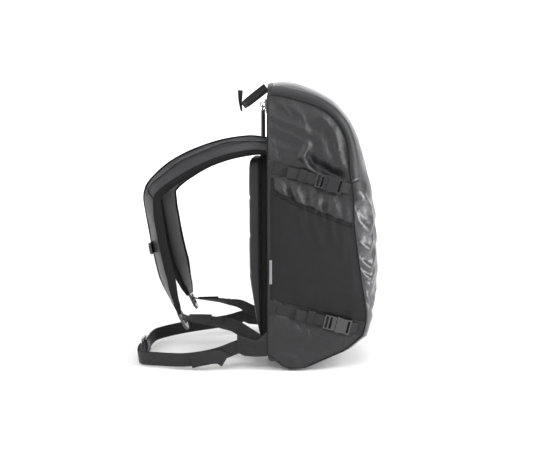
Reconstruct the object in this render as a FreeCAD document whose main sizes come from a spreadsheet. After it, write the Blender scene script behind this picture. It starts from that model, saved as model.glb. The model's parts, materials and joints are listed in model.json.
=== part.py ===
import FreeCAD, Part
import math
import os
import Sketcher

# Avalanche airbag backpack, standing upright with its back panel towards -X.
# X runs fore and aft (the wearer is on the -X side), Y runs across (+Y is the wearer's right), Z is up.
# The origin is the middle of the back panel's flat contact face.
# Pieces are drawn with Z as a height above a level that is sole_height below the bag's lowest point, and are
# then settled into that frame.

V = FreeCAD.Vector
SIDES = (("left", -1), ("right", 1))

SIZES = {
    # bag body
    "bag_width": 270, "bag_height": 560, "bag_depth": 208, "bag_wall": 2,
    "crown_run": 94, "crown_drop": 158, "crown_round": 150, "brow_round": 330,
    "chin_height": 200, "chin_round": 120, "toe_height": 92, "toe_set": 16, "sole_height": 36,
    "sole_run": 65, "heel_run": 31, "heel_height": 60, "side_round": 45,
    # opening panel, its zip and rain flap
    "panel_foot": 385, "panel_back": 12, "panel_gap": 0.4, "zip_width": 5,
    "flap_width": 18, "flap_thick": 1.2, "flap_gap": 0.2,
    "slider_side": 118, "slider_height": 515, "slider_base": 4, "slider_width": 10, "slider_tall": 18,
    "bail_radius": 4.5, "bail_wire": 1.1, "bail_set": 3.5,
    "pull_length": 50, "pull_width": 9, "pull_thick": 2.5, "pull_eye": 2.5,
    # back pad and frame
    "pad_depth": 35, "pad_width": 190, "pad_flat_low": 200, "pad_flat_height": 210, "pad_bevel": 10,
    "sheet_thick": 2, "sheet_width": 170, "sheet_low": 90, "sheet_height": 340,
    "stay_thick": 3, "stay_width": 12, "stay_side": 60, "inside_gap": 0.3,
    # haul loop and grab tab
    "haul_length": 60, "haul_width": 84, "haul_webbing": 12, "haul_thick": 3, "haul_droop": 37.7,
    "haul_height": 552, "haul_gap": 0.5, "tab_tall": 42, "tab_wide": 12, "tab_low": 505,
    # side pockets
    "pocket_depth": 8, "pocket_wall": 1.5, "pocket_back": 42, "pocket_front": 190,
    "pocket_top_back": 345, "pocket_top_front": 288, "pocket_low_back": 169, "pocket_low_front": 134,
    "label_wide": 4, "label_tall": 48, "label_low": 192, "label_thick": 0.4,
    # shoulder straps
    "strap_side": 95, "strap_width": 65, "strap_thick": 15, "strap_height": 450,
    "duct_width": 30, "duct_thick": 9, "duct_reach": 150,
    "loop_set": 7, "loop_outer": 6, "loop_bore": 4.25, "loop_width": 25, "link_thick": 4,
    # ladder locks
    "lock_width": 32, "lock_length": 36, "lock_thick": 5, "lock_rail": 3, "lock_bar": 6, "lock_window": 8,
    # webbing
    "webbing": 25, "webbing_thick": 2.2, "lower_thick": 3, "lower_gap": 8, "lower_clear": 2.5, "lower_spread": 110,
    "narrow_webbing": 20, "narrow_thick": 2,
    # hip belt
    "wing_side": 130, "wing_thick": 6, "belt_start": -20, "belt_height": 70, "belt_dip": 7.6,
    "plate_thick": 4, "plate_tall": 35, "plate_reach": 38, "hook_tall": 30, "hook_reach": 28,
    # side-release buckles
    "clip_length": 22, "prong_length": 14, "clip_width": 26, "clip_thick": 5.8, "clip_lift": 4.4,
    "arm_width": 4, "guide_width": 5, "socket_length": 27, "socket_width": 30, "socket_wall": 1.6,
    "socket_gap": 0.5, "slot_length": 4,
    "webbing_lift": 1.2, "tab_reach": 20, "keeper_length": 13, "keeper_wall": 1.0, "keeper_gap": 18,
    # compression straps
    "upper_back": 40, "upper_height": 405, "upper_run": 154, "upper_slope": 16,
    "lower_back": 44, "lower_height": 149, "lower_run": 166, "lower_slope": 14,
    # sternum strap
    "sternum_height": 255, "sternum_slider": 4, "sternum_slider_wide": 30, "sternum_slider_tall": 22,
    # inflation system
    "bottle_radius": 26, "bottle_length": 150, "bottle_shoulder": 22, "neck_radius": 9, "neck_length": 18,
    "neck_bore": 3.6, "neck_depth": 10, "bottle_height": 95, "bottle_back": 78,
    "head_side": 38, "head_height": 50, "head_overlap": 15, "thread_gap": 0.3,
    "pin_radius": 3, "pin_length": 30, "pin_gap": 0.3, "pin_tip": 6, "stub_radius": 1.5, "stub_length": 4,
    "spring_wall": 1.0, "spring_length": 12,
    "lever_arm": 14, "lever_reach": 22, "lever_tail": 18, "lever_thick": 6, "lever_width": 8,
    "pivot_radius": 2, "pivot_gap": 0.15, "pivot_height": 10, "ear_thick": 4, "ear_gap": 0.5,
    "cable_radius": 1.5, "cable_clear": 8, "handle_length": 70, "handle_width": 24, "handle_thick": 7, "handle_set": 22,
    "fan_side": 58, "fan_length": 60, "fan_radius": 25, "fan_wall": 3, "fan_back": 110, "fan_height": 420,
    "flange_radius": 31, "flange_thick": 4, "screw_circle": 27.8, "screw_radius": 1.5, "screw_count": 6,
    "grille_thick": 2, "grille_hole": 3.2, "flap_radius": 18, "flap_disc": 1.5, "flap_pivot": 19,
    "airbag_deep": 80, "airbag_wide": 125, "airbag_tall": 80, "airbag_back": 50, "airbag_low": 440,
    "airbag_left": -80, "grommet_radius": 4,
}

doc = FreeCAD.newDocument("airbag_pack")
dims = doc.addObject("Spreadsheet::Sheet", "dims")
for row, (name, value) in enumerate(SIZES.items(), start=1):
    dims.set(f"A{row}", name)
    dims.set(f"B{row}", str(value))
    dims.setAlias(f"B{row}", name)
doc.recompute()

NODES = []
ORIGIN_HEIGHT = "(dims.pad_flat_low + dims.pad_flat_height / 2)"


def size(name):
    """A driving dimension, as the sheet holds it."""
    return float(getattr(dims, name))


def value(expression):
    """What an expression of the sheet's names comes to."""
    return float(dims.evalExpression(expression))


def settle(piece, x="0", y="0", height="0", turn=None, node=True):
    """Place a piece: its own origin goes to x, y and a height above the bag's lowest point."""
    piece.Placement = FreeCAD.Placement(V(0, 0, 0), turn or FreeCAD.Rotation())
    piece.setExpression(".Placement.Base.x", str(x))
    piece.setExpression(".Placement.Base.y", str(y))
    piece.setExpression(".Placement.Base.z", f"{height} - {ORIGIN_HEIGHT}")
    if node:
        NODES.append(piece)
    return piece


def new_body(label):
    body = doc.addObject("PartDesign::Body", label)
    body.Label = label
    return body


def new_sketch(body, role, offset="0"):
    """A sketch on one of the body's own origin planes, or parallel to it at an offset."""
    sketch = body.newObject("Sketcher::SketchObject", "sketch")
    plane = next(item for item in body.Origin.OriginFeatures if item.Role == role)
    sketch.AttachmentSupport = (plane, "")
    sketch.MapMode = "FlatFace"
    sketch.setExpression(".AttachmentOffset.Base.z", offset)
    return sketch


def outline(sketch, points):
    """A closed outline of straight sides, each corner tied to the sheet."""
    corners = [(value(x), value(y)) for x, y in points]
    sides = []
    for here, there in zip(corners, corners[1:] + corners[:1]):
        sides.append(sketch.addGeometry(Part.LineSegment(V(*here, 0), V(*there, 0)), False))
    for number, side in enumerate(sides):
        after = sides[(number + 1) % len(sides)]
        sketch.addConstraint(Sketcher.Constraint("Coincident", side, 2, after, 1))
        for kind, coordinate, expression in zip(("DistanceX", "DistanceY"), corners[number], points[number]):
            index = sketch.addConstraint(Sketcher.Constraint(kind, -1, 1, side, 1, coordinate))
            sketch.setExpression(f"Constraints[{index}]", expression)


def rectangle(sketch, x_low, x_high, y_low, y_high):
    outline(sketch, [(x_low, y_low), (x_high, y_low), (x_high, y_high), (x_low, y_high)])


def circle(sketch, x, y, radius):
    centre = V(value(x), value(y), 0)
    ring = sketch.addGeometry(Part.Circle(centre, V(0, 0, 1), value(radius)), False)
    places = (("DistanceX", centre.x, x), ("DistanceY", centre.y, y))
    for kind, coordinate, expression in places:
        index = sketch.addConstraint(Sketcher.Constraint(kind, -1, 1, ring, 3, coordinate))
        sketch.setExpression(f"Constraints[{index}]", expression)
    index = sketch.addConstraint(Sketcher.Constraint("Radius", ring, value(radius)))
    sketch.setExpression(f"Constraints[{index}]", radius)


def feature(body, kind, sketch, length=None, midplane=False, reverse=False, through=False):
    """A pad or pocket. A pocket that removes nothing is an error."""
    before = 0 if kind == "Pad" else body.Shape.Volume
    made = body.newObject("PartDesign::" + kind, kind.lower())
    made.Profile = sketch
    made.Midplane = midplane
    made.Reversed = reverse
    if through:
        made.Type = "ThroughAll"
    else:
        made.setExpression("Length", length)
    doc.recompute()
    if kind == "Pocket" and body.Shape.Volume > before - 1e-3:
        raise RuntimeError(f"{body.Label}: a pocket removed nothing")
    return made


def pad(body, sketch, length, **options):
    return feature(body, "Pad", sketch, length, **options)


def pocket(body, sketch, length=None, **options):
    return feature(body, "Pocket", sketch, length, **options)


def edges_where(shape, test):
    return [f"Edge{number}" for number, edge in enumerate(shape.Edges, start=1) if test(edge)]


def fillet(body, base, radius, test):
    """Round the edges that a test picks."""
    made = body.newObject("PartDesign::Fillet", "fillet")
    made.Base = (base, edges_where(base.Shape, test))
    made.setExpression("Radius", radius)
    doc.recompute()
    return made


def along(axis):
    """A test for straight edges that run along X, Y or Z."""
    def test(edge):
        straight = edge.Curve.TypeId == "Part::GeomLine"
        return straight and abs(abs(getattr(edge.tangentAt(edge.FirstParameter), axis)) - 1) < 1e-6
    return test


def combine(kind, label, first, second):
    """A boolean of two shapes: Part::Cut or Part::Common."""
    made = doc.addObject("Part::" + kind, label)
    made.Label = label
    made.Base = first
    made.Tool = second
    return made


def group(label, pieces):
    made = doc.addObject("Part::Compound", label)
    made.Label = label
    made.Links = pieces
    return made


def block(label, length, width, height):
    made = doc.addObject("Part::Box", label)
    made.Label = label
    for name, expression in (("Length", length), ("Width", width), ("Height", height)):
        made.setExpression(name, expression)
    return made


def rounded_route(sketch, points, radii):
    """Straight runs joined by tangent arcs, drawn in the sketch's plane."""
    corners = [V(x, y, 0) for x, y in points]
    start = corners[0]
    for before, corner, after, radius in zip(corners, corners[1:], corners[2:], radii):
        arriving = (corner - before).normalize()
        leaving = (after - corner).normalize()
        turn = arriving.getAngle(leaving)
        setback = radius * math.tan(turn / 2)
        first = corner - arriving * setback
        last = corner + leaving * setback
        inward = (leaving - arriving).normalize()
        middle = corner + inward * (radius / math.cos(turn / 2) - radius)
        sketch.addGeometry(Part.LineSegment(start, first), False)
        sketch.addGeometry(Part.Arc(first, middle, last), False)
        start = last
    sketch.addGeometry(Part.LineSegment(start, corners[-1]), False)
    for line in range(sketch.GeometryCount):
        sketch.addConstraint(Sketcher.Constraint("Block", line))


def pipe(body, kind, profile, route):
    made = body.newObject("PartDesign::" + kind, "pipe")
    made.Profile = profile
    made.Spine = route
    doc.recompute()
    return made


# Bag body: a thin coated-nylon shell. Its side view has a flat back, a crowned top that rolls into the
# front, and a base that slants up towards the front. The top and front roll over into flat side panels.

BACK = "dims.pad_depth"
FRONT = "(dims.pad_depth + dims.bag_depth)"
CROWN = ("(dims.pad_depth + dims.crown_run)", "dims.bag_height")
BROW = (FRONT, "(dims.bag_height - dims.crown_drop)")
CHIN = (FRONT, "dims.chin_height")
TOE = (f"({FRONT} - dims.toe_set)", "dims.toe_height")
SOLE = ("(dims.pad_depth + dims.sole_run)", "dims.sole_height")
HEEL = ("(dims.pad_depth + dims.heel_run)", "dims.sole_height")
BAG_OUTLINE = [(BACK, "dims.heel_height"), (BACK, "dims.bag_height"), CROWN, BROW, CHIN, TOE, SOLE, HEEL]


def inset_outline(points, inset):
    """The same outline with every side moved inwards by one distance."""
    corners = [V(value(x), value(y), 0) for x, y in points]
    moved = []
    for number, corner in enumerate(corners):
        before = (corner - corners[number - 1]).normalize()
        after = (corners[(number + 1) % len(corners)] - corner).normalize()
        normals = V(before.y, -before.x, 0) + V(after.y, -after.x, 0)
        shift = normals * (1 / (1 + before.dot(after)))
        x, y = points[number]
        moved.append((f"{x} + ({inset}) * {shift.x:.9f}", f"{y} + ({inset}) * {shift.y:.9f}"))
    return moved


def rounded_prism(label, points, width, rounds):
    """An outline as a solid of some width, with some of its corners rounded."""
    body = new_body(label)
    sketch = new_sketch(body, "XZ_Plane")
    outline(sketch, points)
    last = pad(body, sketch, width, midplane=True)
    for number, radius in rounds:
        x = value(points[number][0])
        z = value(points[number][1])
        last = fillet(body, last, radius, lambda edge: along("y")(edge)
                      and abs(edge.CenterOfMass.x - x) < 0.01 and abs(edge.CenterOfMass.z - z) < 0.01)
    return body, last


def bag_block(label, inset):
    """The bag as a solid, moved inwards by inset, its top and front rolled over into its sides."""
    points = inset_outline(BAG_OUTLINE, inset)
    width = f"dims.bag_width - 2 * ({inset})"
    rounds = [(2, f"dims.crown_round - ({inset})"), (3, f"dims.brow_round - ({inset})"),
              (4, f"dims.chin_round - ({inset})")]
    body, last = rounded_prism(label, points, width, rounds)
    side = value(width) / 2
    low = value(points[5][1]) + 1
    back = value(points[0][0]) + 1
    fillet(body, last, f"dims.side_round - ({inset})", lambda edge:
           abs(abs(edge.CenterOfMass.y) - side) < 0.01
           and edge.CenterOfMass.z > low and edge.CenterOfMass.x > back)
    return body


def seam_core(label, inset):
    """Everything inboard of a line that follows the bag's top and front at a distance."""
    top, crown, brow = inset_outline(BAG_OUTLINE, inset)[1:4]
    foot = "dims.panel_foot - 200"
    points = [("0", foot), ("0", top[1]), crown, brow, (brow[0], foot)]
    rounds = [(2, f"dims.crown_round - ({inset})"), (3, f"dims.brow_round - ({inset})")]
    return rounded_prism(label, points, "dims.bag_width + 60", rounds)[0]


def opening_zone(label, gap):
    """The space above the panel's foot and forward of its back edge, less the part inboard of the seam."""
    zone = block(label, "dims.bag_depth + 60", "dims.bag_width + 60", "dims.bag_height")
    zone.setExpression(".Placement.Base.x", f"dims.pad_depth + dims.panel_back - {gap}")
    zone.setExpression(".Placement.Base.y", "-dims.bag_width / 2 - 30")
    zone.setExpression(".Placement.Base.z", f"dims.panel_foot - {gap}")
    return zone


skin = combine("Cut", "bag_skin", bag_block("bag_outside", "0"), bag_block("bag_inside", "dims.bag_wall"))
panel_core = seam_core("panel_core", "dims.side_round")
tape_core = seam_core("tape_core", "dims.side_round + dims.panel_gap")
side_core = seam_core("side_core", "dims.side_round + dims.panel_gap + dims.zip_width")
band_core = seam_core("band_core", "dims.side_round - dims.flap_width")
panel_zone = opening_zone("panel_zone", "0")
shell_zone = opening_zone("shell_zone", "dims.panel_gap")

grommet = doc.addObject("Part::Cylinder", "grommet_bore")
grommet.setExpression("Radius", "dims.grommet_radius")
grommet.setExpression("Height", "dims.bag_wall * 4")
grommet.Placement = FreeCAD.Placement(V(0, 0, 0), FreeCAD.Rotation(V(0, 1, 0), 90))
grommet.setExpression(".Placement.Base.x", "dims.pad_depth - dims.bag_wall")
grommet.setExpression(".Placement.Base.y", "-dims.strap_side")
grommet.setExpression(".Placement.Base.z", "dims.strap_height")

whole_zone = combine("Cut", "shell_opening", shell_zone, side_core)
open_skin = combine("Cut", "open_skin", skin, whole_zone)
settle(combine("Cut", "bag_shell", open_skin, grommet))

# Opening panel: the crown and upper front, which a long zip frees so that it folds forwards and down.

panel_space = combine("Cut", "panel_space", panel_zone, panel_core)
settle(combine("Common", "front_panel", skin, panel_space))

# Zip: the coil and its tape, sewn along the edge of each side panel.

tape_ring = combine("Cut", "tape_ring", tape_core, side_core)
tape_space = combine("Common", "tape_space", tape_ring, panel_zone)
settle(combine("Common", "zip_tape", skin, tape_space))

# Rain flap: a folded band of the panel's own fabric, outside the zip.

flap_skin = combine("Cut", "flap_skin", bag_block("flap_outside", "-dims.flap_gap - dims.flap_thick"),
                    bag_block("flap_inside", "-dims.flap_gap"))
flap_ring = combine("Cut", "flap_ring", band_core, panel_core)
flap_space = combine("Common", "flap_space", flap_ring, panel_zone)
settle(combine("Common", "rain_flap", flap_skin, flap_space))

# Zip sliders: metal, parked at the top corners of the back, each with a wire bail.


def zip_slider(name, sign):
    base = block(f"slider_base_{name}", "dims.slider_base", "dims.slider_width", "dims.slider_tall")
    base.setExpression(".Placement.Base.x", "dims.pad_depth - dims.slider_base")
    base.setExpression(".Placement.Base.y", f"{sign} * dims.slider_side - dims.slider_width / 2")
    base.setExpression(".Placement.Base.z", "dims.slider_height - dims.slider_tall / 2")
    bail = doc.addObject("Part::Torus", f"bail_{name}")
    bail.setExpression("Radius1", "dims.bail_radius")
    bail.setExpression("Radius2", "dims.bail_wire")
    bail.Placement = FreeCAD.Placement(V(0, 0, 0), FreeCAD.Rotation(V(1, 0, 0), 90))
    bail.setExpression(".Placement.Base.x", "dims.pad_depth - dims.slider_base - dims.bail_set")
    bail.setExpression(".Placement.Base.y", f"{sign} * dims.slider_side")
    bail.setExpression(".Placement.Base.z", "dims.slider_height")
    whole = doc.addObject("Part::MultiFuse", f"slider_{name}")
    whole.Shapes = [base, bail]
    return whole


settle(group("zip_sliders", [zip_slider(name, sign) for name, sign in SIDES]))

# Zip pulls: flat moulded tabs that hang from the sliders' bails by an eye.

for name, sign in SIDES:
    body = new_body(f"zip_pull_{name}")
    sketch = new_sketch(body, "YZ_Plane")
    low = "-dims.bail_radius - dims.pull_length"
    high = "-dims.bail_radius + dims.pull_eye + 2"
    outline(sketch, [("-dims.pull_width / 2", high), ("dims.pull_width / 2", high),
                     ("dims.pull_width / 2", f"{low} + 6"), ("dims.pull_width / 4", low),
                     ("-dims.pull_width / 4", low), ("-dims.pull_width / 2", f"{low} + 6")])
    circle(sketch, "0", "-dims.bail_radius", "dims.pull_eye")
    pad(body, sketch, "dims.pull_thick", midplane=True)
    settle(body, "dims.pad_depth - dims.slider_base - dims.bail_set", f"{sign} * dims.slider_side",
           "dims.slider_height")

# Back pad: moulded foam in smooth fabric, flat where it meets the back and turned in to the bag below.

body = new_body("back_pad")
sketch = new_sketch(body, "XZ_Plane")
PAD_TOP = "(dims.pad_flat_low + dims.pad_flat_height)"
outline(sketch, [("0", "dims.pad_flat_low"), ("0", PAD_TOP),
                 ("dims.pad_bevel", f"{PAD_TOP} + dims.pad_bevel"), (BACK, f"{PAD_TOP} + dims.pad_bevel"),
                 (BACK, "dims.heel_height + 2"), ("dims.pad_depth * 0.72", "dims.heel_height + 8"),
                 ("dims.pad_depth * 0.4", "dims.heel_height + 54")])
pad(body, sketch, "dims.pad_width", midplane=True)
settle(body)

# Frame sheet and stays: a plastic sheet behind the back wall, stiffened by two aluminium bars.

INSIDE_BACK = "(dims.pad_depth + dims.bag_wall + dims.inside_gap)"
sheet = block("frame_sheet", "dims.sheet_thick", "dims.sheet_width", "dims.sheet_height")
settle(sheet, INSIDE_BACK, "-dims.sheet_width / 2", "dims.sheet_low")
stays = []
for name, sign in SIDES:
    stay = block(f"stay_{name}", "dims.stay_thick", "dims.stay_width", "dims.sheet_height")
    stay.setExpression(".Placement.Base.x", f"{INSIDE_BACK} + dims.sheet_thick")
    stay.setExpression(".Placement.Base.y", f"{sign} * dims.stay_side - dims.stay_width / 2")
    stay.setExpression(".Placement.Base.z", "dims.sheet_low")
    stays.append(stay)
settle(group("frame_stays", stays))

# Haul loop: webbing sewn to the top of the back, which stands off and can be swung up to carry the pack.
# The grab tab is a short stiff fold of webbing at its free end.

loop = new_body("haul_loop")
sketch = new_sketch(loop, "XY_Plane")
rectangle(sketch, "-dims.haul_length", "0", "-dims.haul_width / 2", "dims.haul_width / 2")
rectangle(sketch, "-dims.haul_length + dims.haul_webbing", "-4",
          "-dims.haul_width / 2 + dims.haul_webbing", "dims.haul_width / 2 - dims.haul_webbing")
pad(loop, sketch, "dims.haul_thick", midplane=True)
HAUL_X = "(dims.pad_depth - dims.haul_gap - dims.haul_thick / 2)"
settle(loop, HAUL_X, "0", "dims.haul_height", FreeCAD.Rotation(V(0, 1, 0), -size("haul_droop")))

tab = block("grab_tab", "dims.haul_thick", "dims.tab_wide", "dims.tab_tall")
settle(tab, f"{HAUL_X} - dims.haul_length * cos(dims.haul_droop) - dims.haul_thick * 1.5",
       "-dims.tab_wide / 2", "dims.tab_low")

# Side pockets: stretch fabric sewn to the side panel on three sides and open at the slanted top.

for name, sign in SIDES:
    body = new_body(f"side_pocket_{name}")
    face = f"{-sign} * dims.bag_width / 2"
    sketch = new_sketch(body, "XZ_Plane", face)
    outline(sketch, [("dims.pocket_back", "dims.pocket_low_back"),
                     ("dims.pocket_front", "dims.pocket_low_front"),
                     ("dims.pocket_front", "dims.pocket_top_front"),
                     ("dims.pocket_back", "dims.pocket_top_back")])
    pad(body, sketch, "dims.pocket_depth", reverse=sign > 0)
    sketch = new_sketch(body, "XZ_Plane", face)
    inner_back = "dims.pocket_back + dims.pocket_wall"
    inner_front = "dims.pocket_front - dims.pocket_wall"
    rise = "dims.pocket_wall * 1.2"
    outline(sketch, [(inner_back, f"dims.pocket_low_back + {rise}"),
                     (inner_front, f"dims.pocket_low_front + {rise}"),
                     (inner_front, "dims.pocket_top_front + 20"),
                     (inner_back, "dims.pocket_top_back + 20")])
    pocket(body, sketch, "dims.pocket_depth - dims.pocket_wall", reverse=sign < 0)
    settle(body)

label = block("side_label", "dims.label_wide", "dims.label_thick", "dims.label_tall")
settle(label, "dims.pocket_back - dims.label_wide - 0.3", "-dims.bag_width / 2 - dims.label_thick",
       "dims.label_low")

# Shoulder straps: foam in smooth fabric. Each leaves the bag above the pad, arches over the shoulder and
# comes down the chest to a webbing loop. The left one is hollow, for the trigger's handle and cable.

STRAP_ROUTE = [(size("pad_depth"), size("strap_height")), (-40, size("strap_height")), (-125, 415),
               (-187, 365), (-158, 192), (-131, 136)]
STRAP_ROUNDS = [110, 110, 25, 100]
CHEST_TOP = V(*STRAP_ROUTE[3], 0)
CHEST_LOW = V(*STRAP_ROUTE[4], 0)
STRAP_END = V(*STRAP_ROUTE[5], 0)
CHEST_LINE = (CHEST_LOW - CHEST_TOP).normalize()
CHEST_LEAN = math.degrees(math.atan2(-CHEST_LINE.x, -CHEST_LINE.y))
END_LINE = (STRAP_END - CHEST_LOW).normalize()
END_LEAN = math.degrees(math.atan2(-END_LINE.x, -END_LINE.y))
LOOP_CENTRE = STRAP_END + END_LINE * size("loop_set")
DUCT_END = CHEST_TOP + CHEST_LINE * size("duct_reach")

for name, sign in SIDES:
    body = new_body(f"shoulder_strap_{name}")
    middle = f"{sign} * dims.strap_side"
    route = new_sketch(body, "XZ_Plane", f"-({middle})")
    rounded_route(route, STRAP_ROUTE, STRAP_ROUNDS)
    profile = new_sketch(body, "YZ_Plane", BACK)
    rectangle(profile, f"{middle} - dims.strap_width / 2", f"{middle} + dims.strap_width / 2",
              "dims.strap_height - dims.strap_thick / 2", "dims.strap_height + dims.strap_thick / 2")
    pipe(body, "AdditivePipe", profile, route)
    # webbing loop at the lower end
    sketch = new_sketch(body, "XZ_Plane", f"-({middle})")
    circle(sketch, str(LOOP_CENTRE.x), str(LOOP_CENTRE.y), "dims.loop_outer")
    pad(body, sketch, "dims.loop_width", midplane=True)
    sketch = new_sketch(body, "XZ_Plane", f"-({middle})")
    across = V(-END_LINE.y, END_LINE.x, 0) * (size("link_thick") / 2)
    inside = STRAP_END - END_LINE * 2
    ends = [inside - across, LOOP_CENTRE - across, LOOP_CENTRE + across, inside + across]
    outline(sketch, [(str(point.x), str(point.y)) for point in ends])
    pad(body, sketch, "dims.loop_width", midplane=True)
    sketch = new_sketch(body, "XZ_Plane", f"-({middle})")
    circle(sketch, str(LOOP_CENTRE.x), str(LOOP_CENTRE.y), "dims.loop_bore")
    pocket(body, sketch, through=True, midplane=True)
    if name == "left":
        duct = new_sketch(body, "XZ_Plane", f"-({middle})")
        rounded_route(duct, STRAP_ROUTE[:4] + [(DUCT_END.x, DUCT_END.y)], STRAP_ROUNDS[:3])
        bore = new_sketch(body, "YZ_Plane", BACK)
        rectangle(bore, f"{middle} - dims.duct_width / 2", f"{middle} + dims.duct_width / 2",
                  "dims.strap_height - dims.duct_thick / 2", "dims.strap_height + dims.duct_thick / 2")
        pipe(body, "SubtractivePipe", bore, duct)
    settle(body)

# Ladder locks: moulded buckles that hang from the strap ends by their top bars.

for name, sign in SIDES:
    body = new_body(f"ladder_lock_{name}")
    sketch = new_sketch(body, "YZ_Plane")
    top = "dims.lock_bar / 2"
    tip = "dims.lock_bar / 2 - dims.lock_length"
    outline(sketch, [("-dims.lock_width / 2", top), ("dims.lock_width / 2", top),
                     ("dims.lock_width / 2", f"{tip} + 9"), ("5", tip), ("-5", tip),
                     ("-dims.lock_width / 2", f"{tip} + 9")])
    reach = "(dims.lock_width / 2 - dims.lock_rail)"
    first = "-dims.lock_bar / 2"
    second = "(-dims.lock_bar / 2 - dims.lock_window - dims.lock_rail)"
    rectangle(sketch, f"-{reach}", reach, f"{first} - dims.lock_window", first)
    rectangle(sketch, f"-{reach}", reach, f"{second} - dims.lock_window", second)
    pad(body, sketch, "dims.lock_thick", midplane=True)
    settle(body, str(LOOP_CENTRE.x), f"{sign} * dims.strap_side", str(LOOP_CENTRE.y),
           FreeCAD.Rotation(V(0, 1, 0), END_LEAN))

# Lower webbing: doubled webbing from each ladder lock back to the bag's lower corner.

LOWER_START = LOOP_CENTRE + END_LINE * 20 + V(size("lower_gap"), 0, 0)
LOWER_RUN = size("pad_depth") - LOWER_START.x - size("lower_clear")
LOWER_SPREAD = size("lower_spread") - size("strap_side")
LOWER_YAW = math.degrees(math.atan2(LOWER_SPREAD, LOWER_RUN))
LOWER_LENGTH = math.hypot(LOWER_RUN, LOWER_SPREAD)
LOWER_SHAPE = ((0, 0), (0.14, 5), (0.45, -1), (0.61, -10), (1.0, -38))

for name, sign in SIDES:
    body = new_body(f"lower_webbing_{name}")
    sketch = new_sketch(body, "XZ_Plane")
    above = [(f"{LOWER_LENGTH * share}", f"{rise} + dims.lower_thick / 2") for share, rise in LOWER_SHAPE]
    below = [(f"{LOWER_LENGTH * share}", f"{rise} - dims.lower_thick / 2") for share, rise in LOWER_SHAPE]
    outline(sketch, above + below[::-1])
    pad(body, sketch, "dims.webbing", midplane=True)
    settle(body, str(LOWER_START.x), f"{sign} * dims.strap_side", str(LOWER_START.y),
           FreeCAD.Rotation(V(0, 0, 1), sign * LOWER_YAW))

# Hip belt: a fabric wing at each lower corner carries plain webbing round to a hooked metal buckle.
# The belt is drawn level and then dips towards the front.

BELT_TURN = FreeCAD.Rotation(V(0, 1, 0), -size("belt_dip"))
PLATE_BACK = -191


def belt_piece(label, route_points, rounds):
    """Webbing on edge, along a level route that starts towards -X."""
    body = new_body(label)
    route = new_sketch(body, "XY_Plane")
    rounded_route(route, route_points, rounds)
    profile = new_sketch(body, "YZ_Plane", str(route_points[0][0]))
    start = route_points[0][1]
    rectangle(profile, f"{start} - dims.webbing_thick / 2", f"{start} + dims.webbing_thick / 2",
              "-dims.webbing / 2", "dims.webbing / 2")
    pipe(body, "AdditivePipe", profile, route)
    return settle(body, "dims.belt_start", "0", "dims.belt_height", BELT_TURN, node=False)


for name, sign in SIDES:
    body = new_body(f"hip_wing_{name}")
    sketch = new_sketch(body, "XZ_Plane", f"{-sign} * dims.wing_side")
    low = "(dims.belt_height - dims.webbing / 2 - 2)"
    outline(sketch, [("dims.belt_start", low), (BACK, low), (BACK, f"{low} + 54"),
                     ("dims.pad_depth - 8", f"{low} + 54"), ("-2", f"{low} + 44"),
                     ("dims.belt_start", f"{low} + dims.webbing + 4")])
    pad(body, sketch, "dims.wing_thick", midplane=True)
    settle(body)

LEFT_ROUTE = [(-2.4, -130), (-100, -127), (-181, -92), (-191, -25)]
TAIL_ROUTE = [(-58, -132.6), (-101, -130.6), (-184, -94.5), (-194.5, -26.5)]
RIGHT_ROUTE = [(-2.4, 130), (-100, 127), (-177, 92), (-186.4, 26)]
BELT_ROUNDS = [200, 50]

# The left webbing turns back at the buckle, and its free end lies along its outer face.
left_run = belt_piece("belt_run_left", LEFT_ROUTE, BELT_ROUNDS)
left_tail = belt_piece("belt_tail_left", TAIL_ROUTE, BELT_ROUNDS)
right_run = belt_piece("belt_run_right", RIGHT_ROUTE, BELT_ROUNDS)
NODES.append(group("hip_webbing_left", [left_run, left_tail]))
NODES.append(group("hip_webbing_right", [right_run]))


def belt_plate(label, back, y_low, y_high, tall, slot, window):
    """A metal plate on edge, with a slot for the webbing and a window for the hook."""
    body = new_body(label)
    sketch = new_sketch(body, "YZ_Plane", back)
    rectangle(sketch, y_low, y_high, f"-{tall} / 2", f"{tall} / 2")
    for low, high in (slot, window):
        rectangle(sketch, low, high, "-dims.webbing / 2 - 0.5", "dims.webbing / 2 + 0.5")
    plate = pad(body, sketch, "dims.plate_thick")
    fillet(body, plate, "dims.plate_thick", lambda edge: along("x")(edge)
           and abs(abs(edge.CenterOfMass.z) - value(f"{tall} / 2")) < 0.01)
    settle(body, "dims.belt_start", "0", "dims.belt_height", BELT_TURN)


belt_plate("belt_buckle_plate", str(PLATE_BACK - 2), "-22", "-22 + dims.plate_reach", "dims.plate_tall",
           ("-19", "-15"), ("4", "11"))
belt_plate("belt_buckle_hook", str(PLATE_BACK + 2.4), "24 - dims.hook_reach", "24", "dims.hook_tall",
           ("17", "21"), ("2", "9"))

# Side-release buckles, drawn along +X with the webbing's face in the XZ plane and +Y outwards.
# The clip's arms and guide go into the socket, and the webbing passes underneath both.


def slab(label, points, low, thick, place, node=True):
    """A flat piece with the given outline, its underside at a height above the fabric."""
    body = new_body(label)
    sketch = new_sketch(body, "XZ_Plane", f"-({low})")
    outline(sketch, points)
    pad(body, sketch, thick, reverse=True)
    settle(body, *place, node=node)
    return body


def strap_run(label, start, end, width, place, node=True):
    half = f"{width} / 2"
    return slab(label, [(start, f"-{half}"), (end, f"-{half}"), (end, half), (start, half)],
                "dims.webbing_lift", "dims.narrow_thick", place, node)


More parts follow.
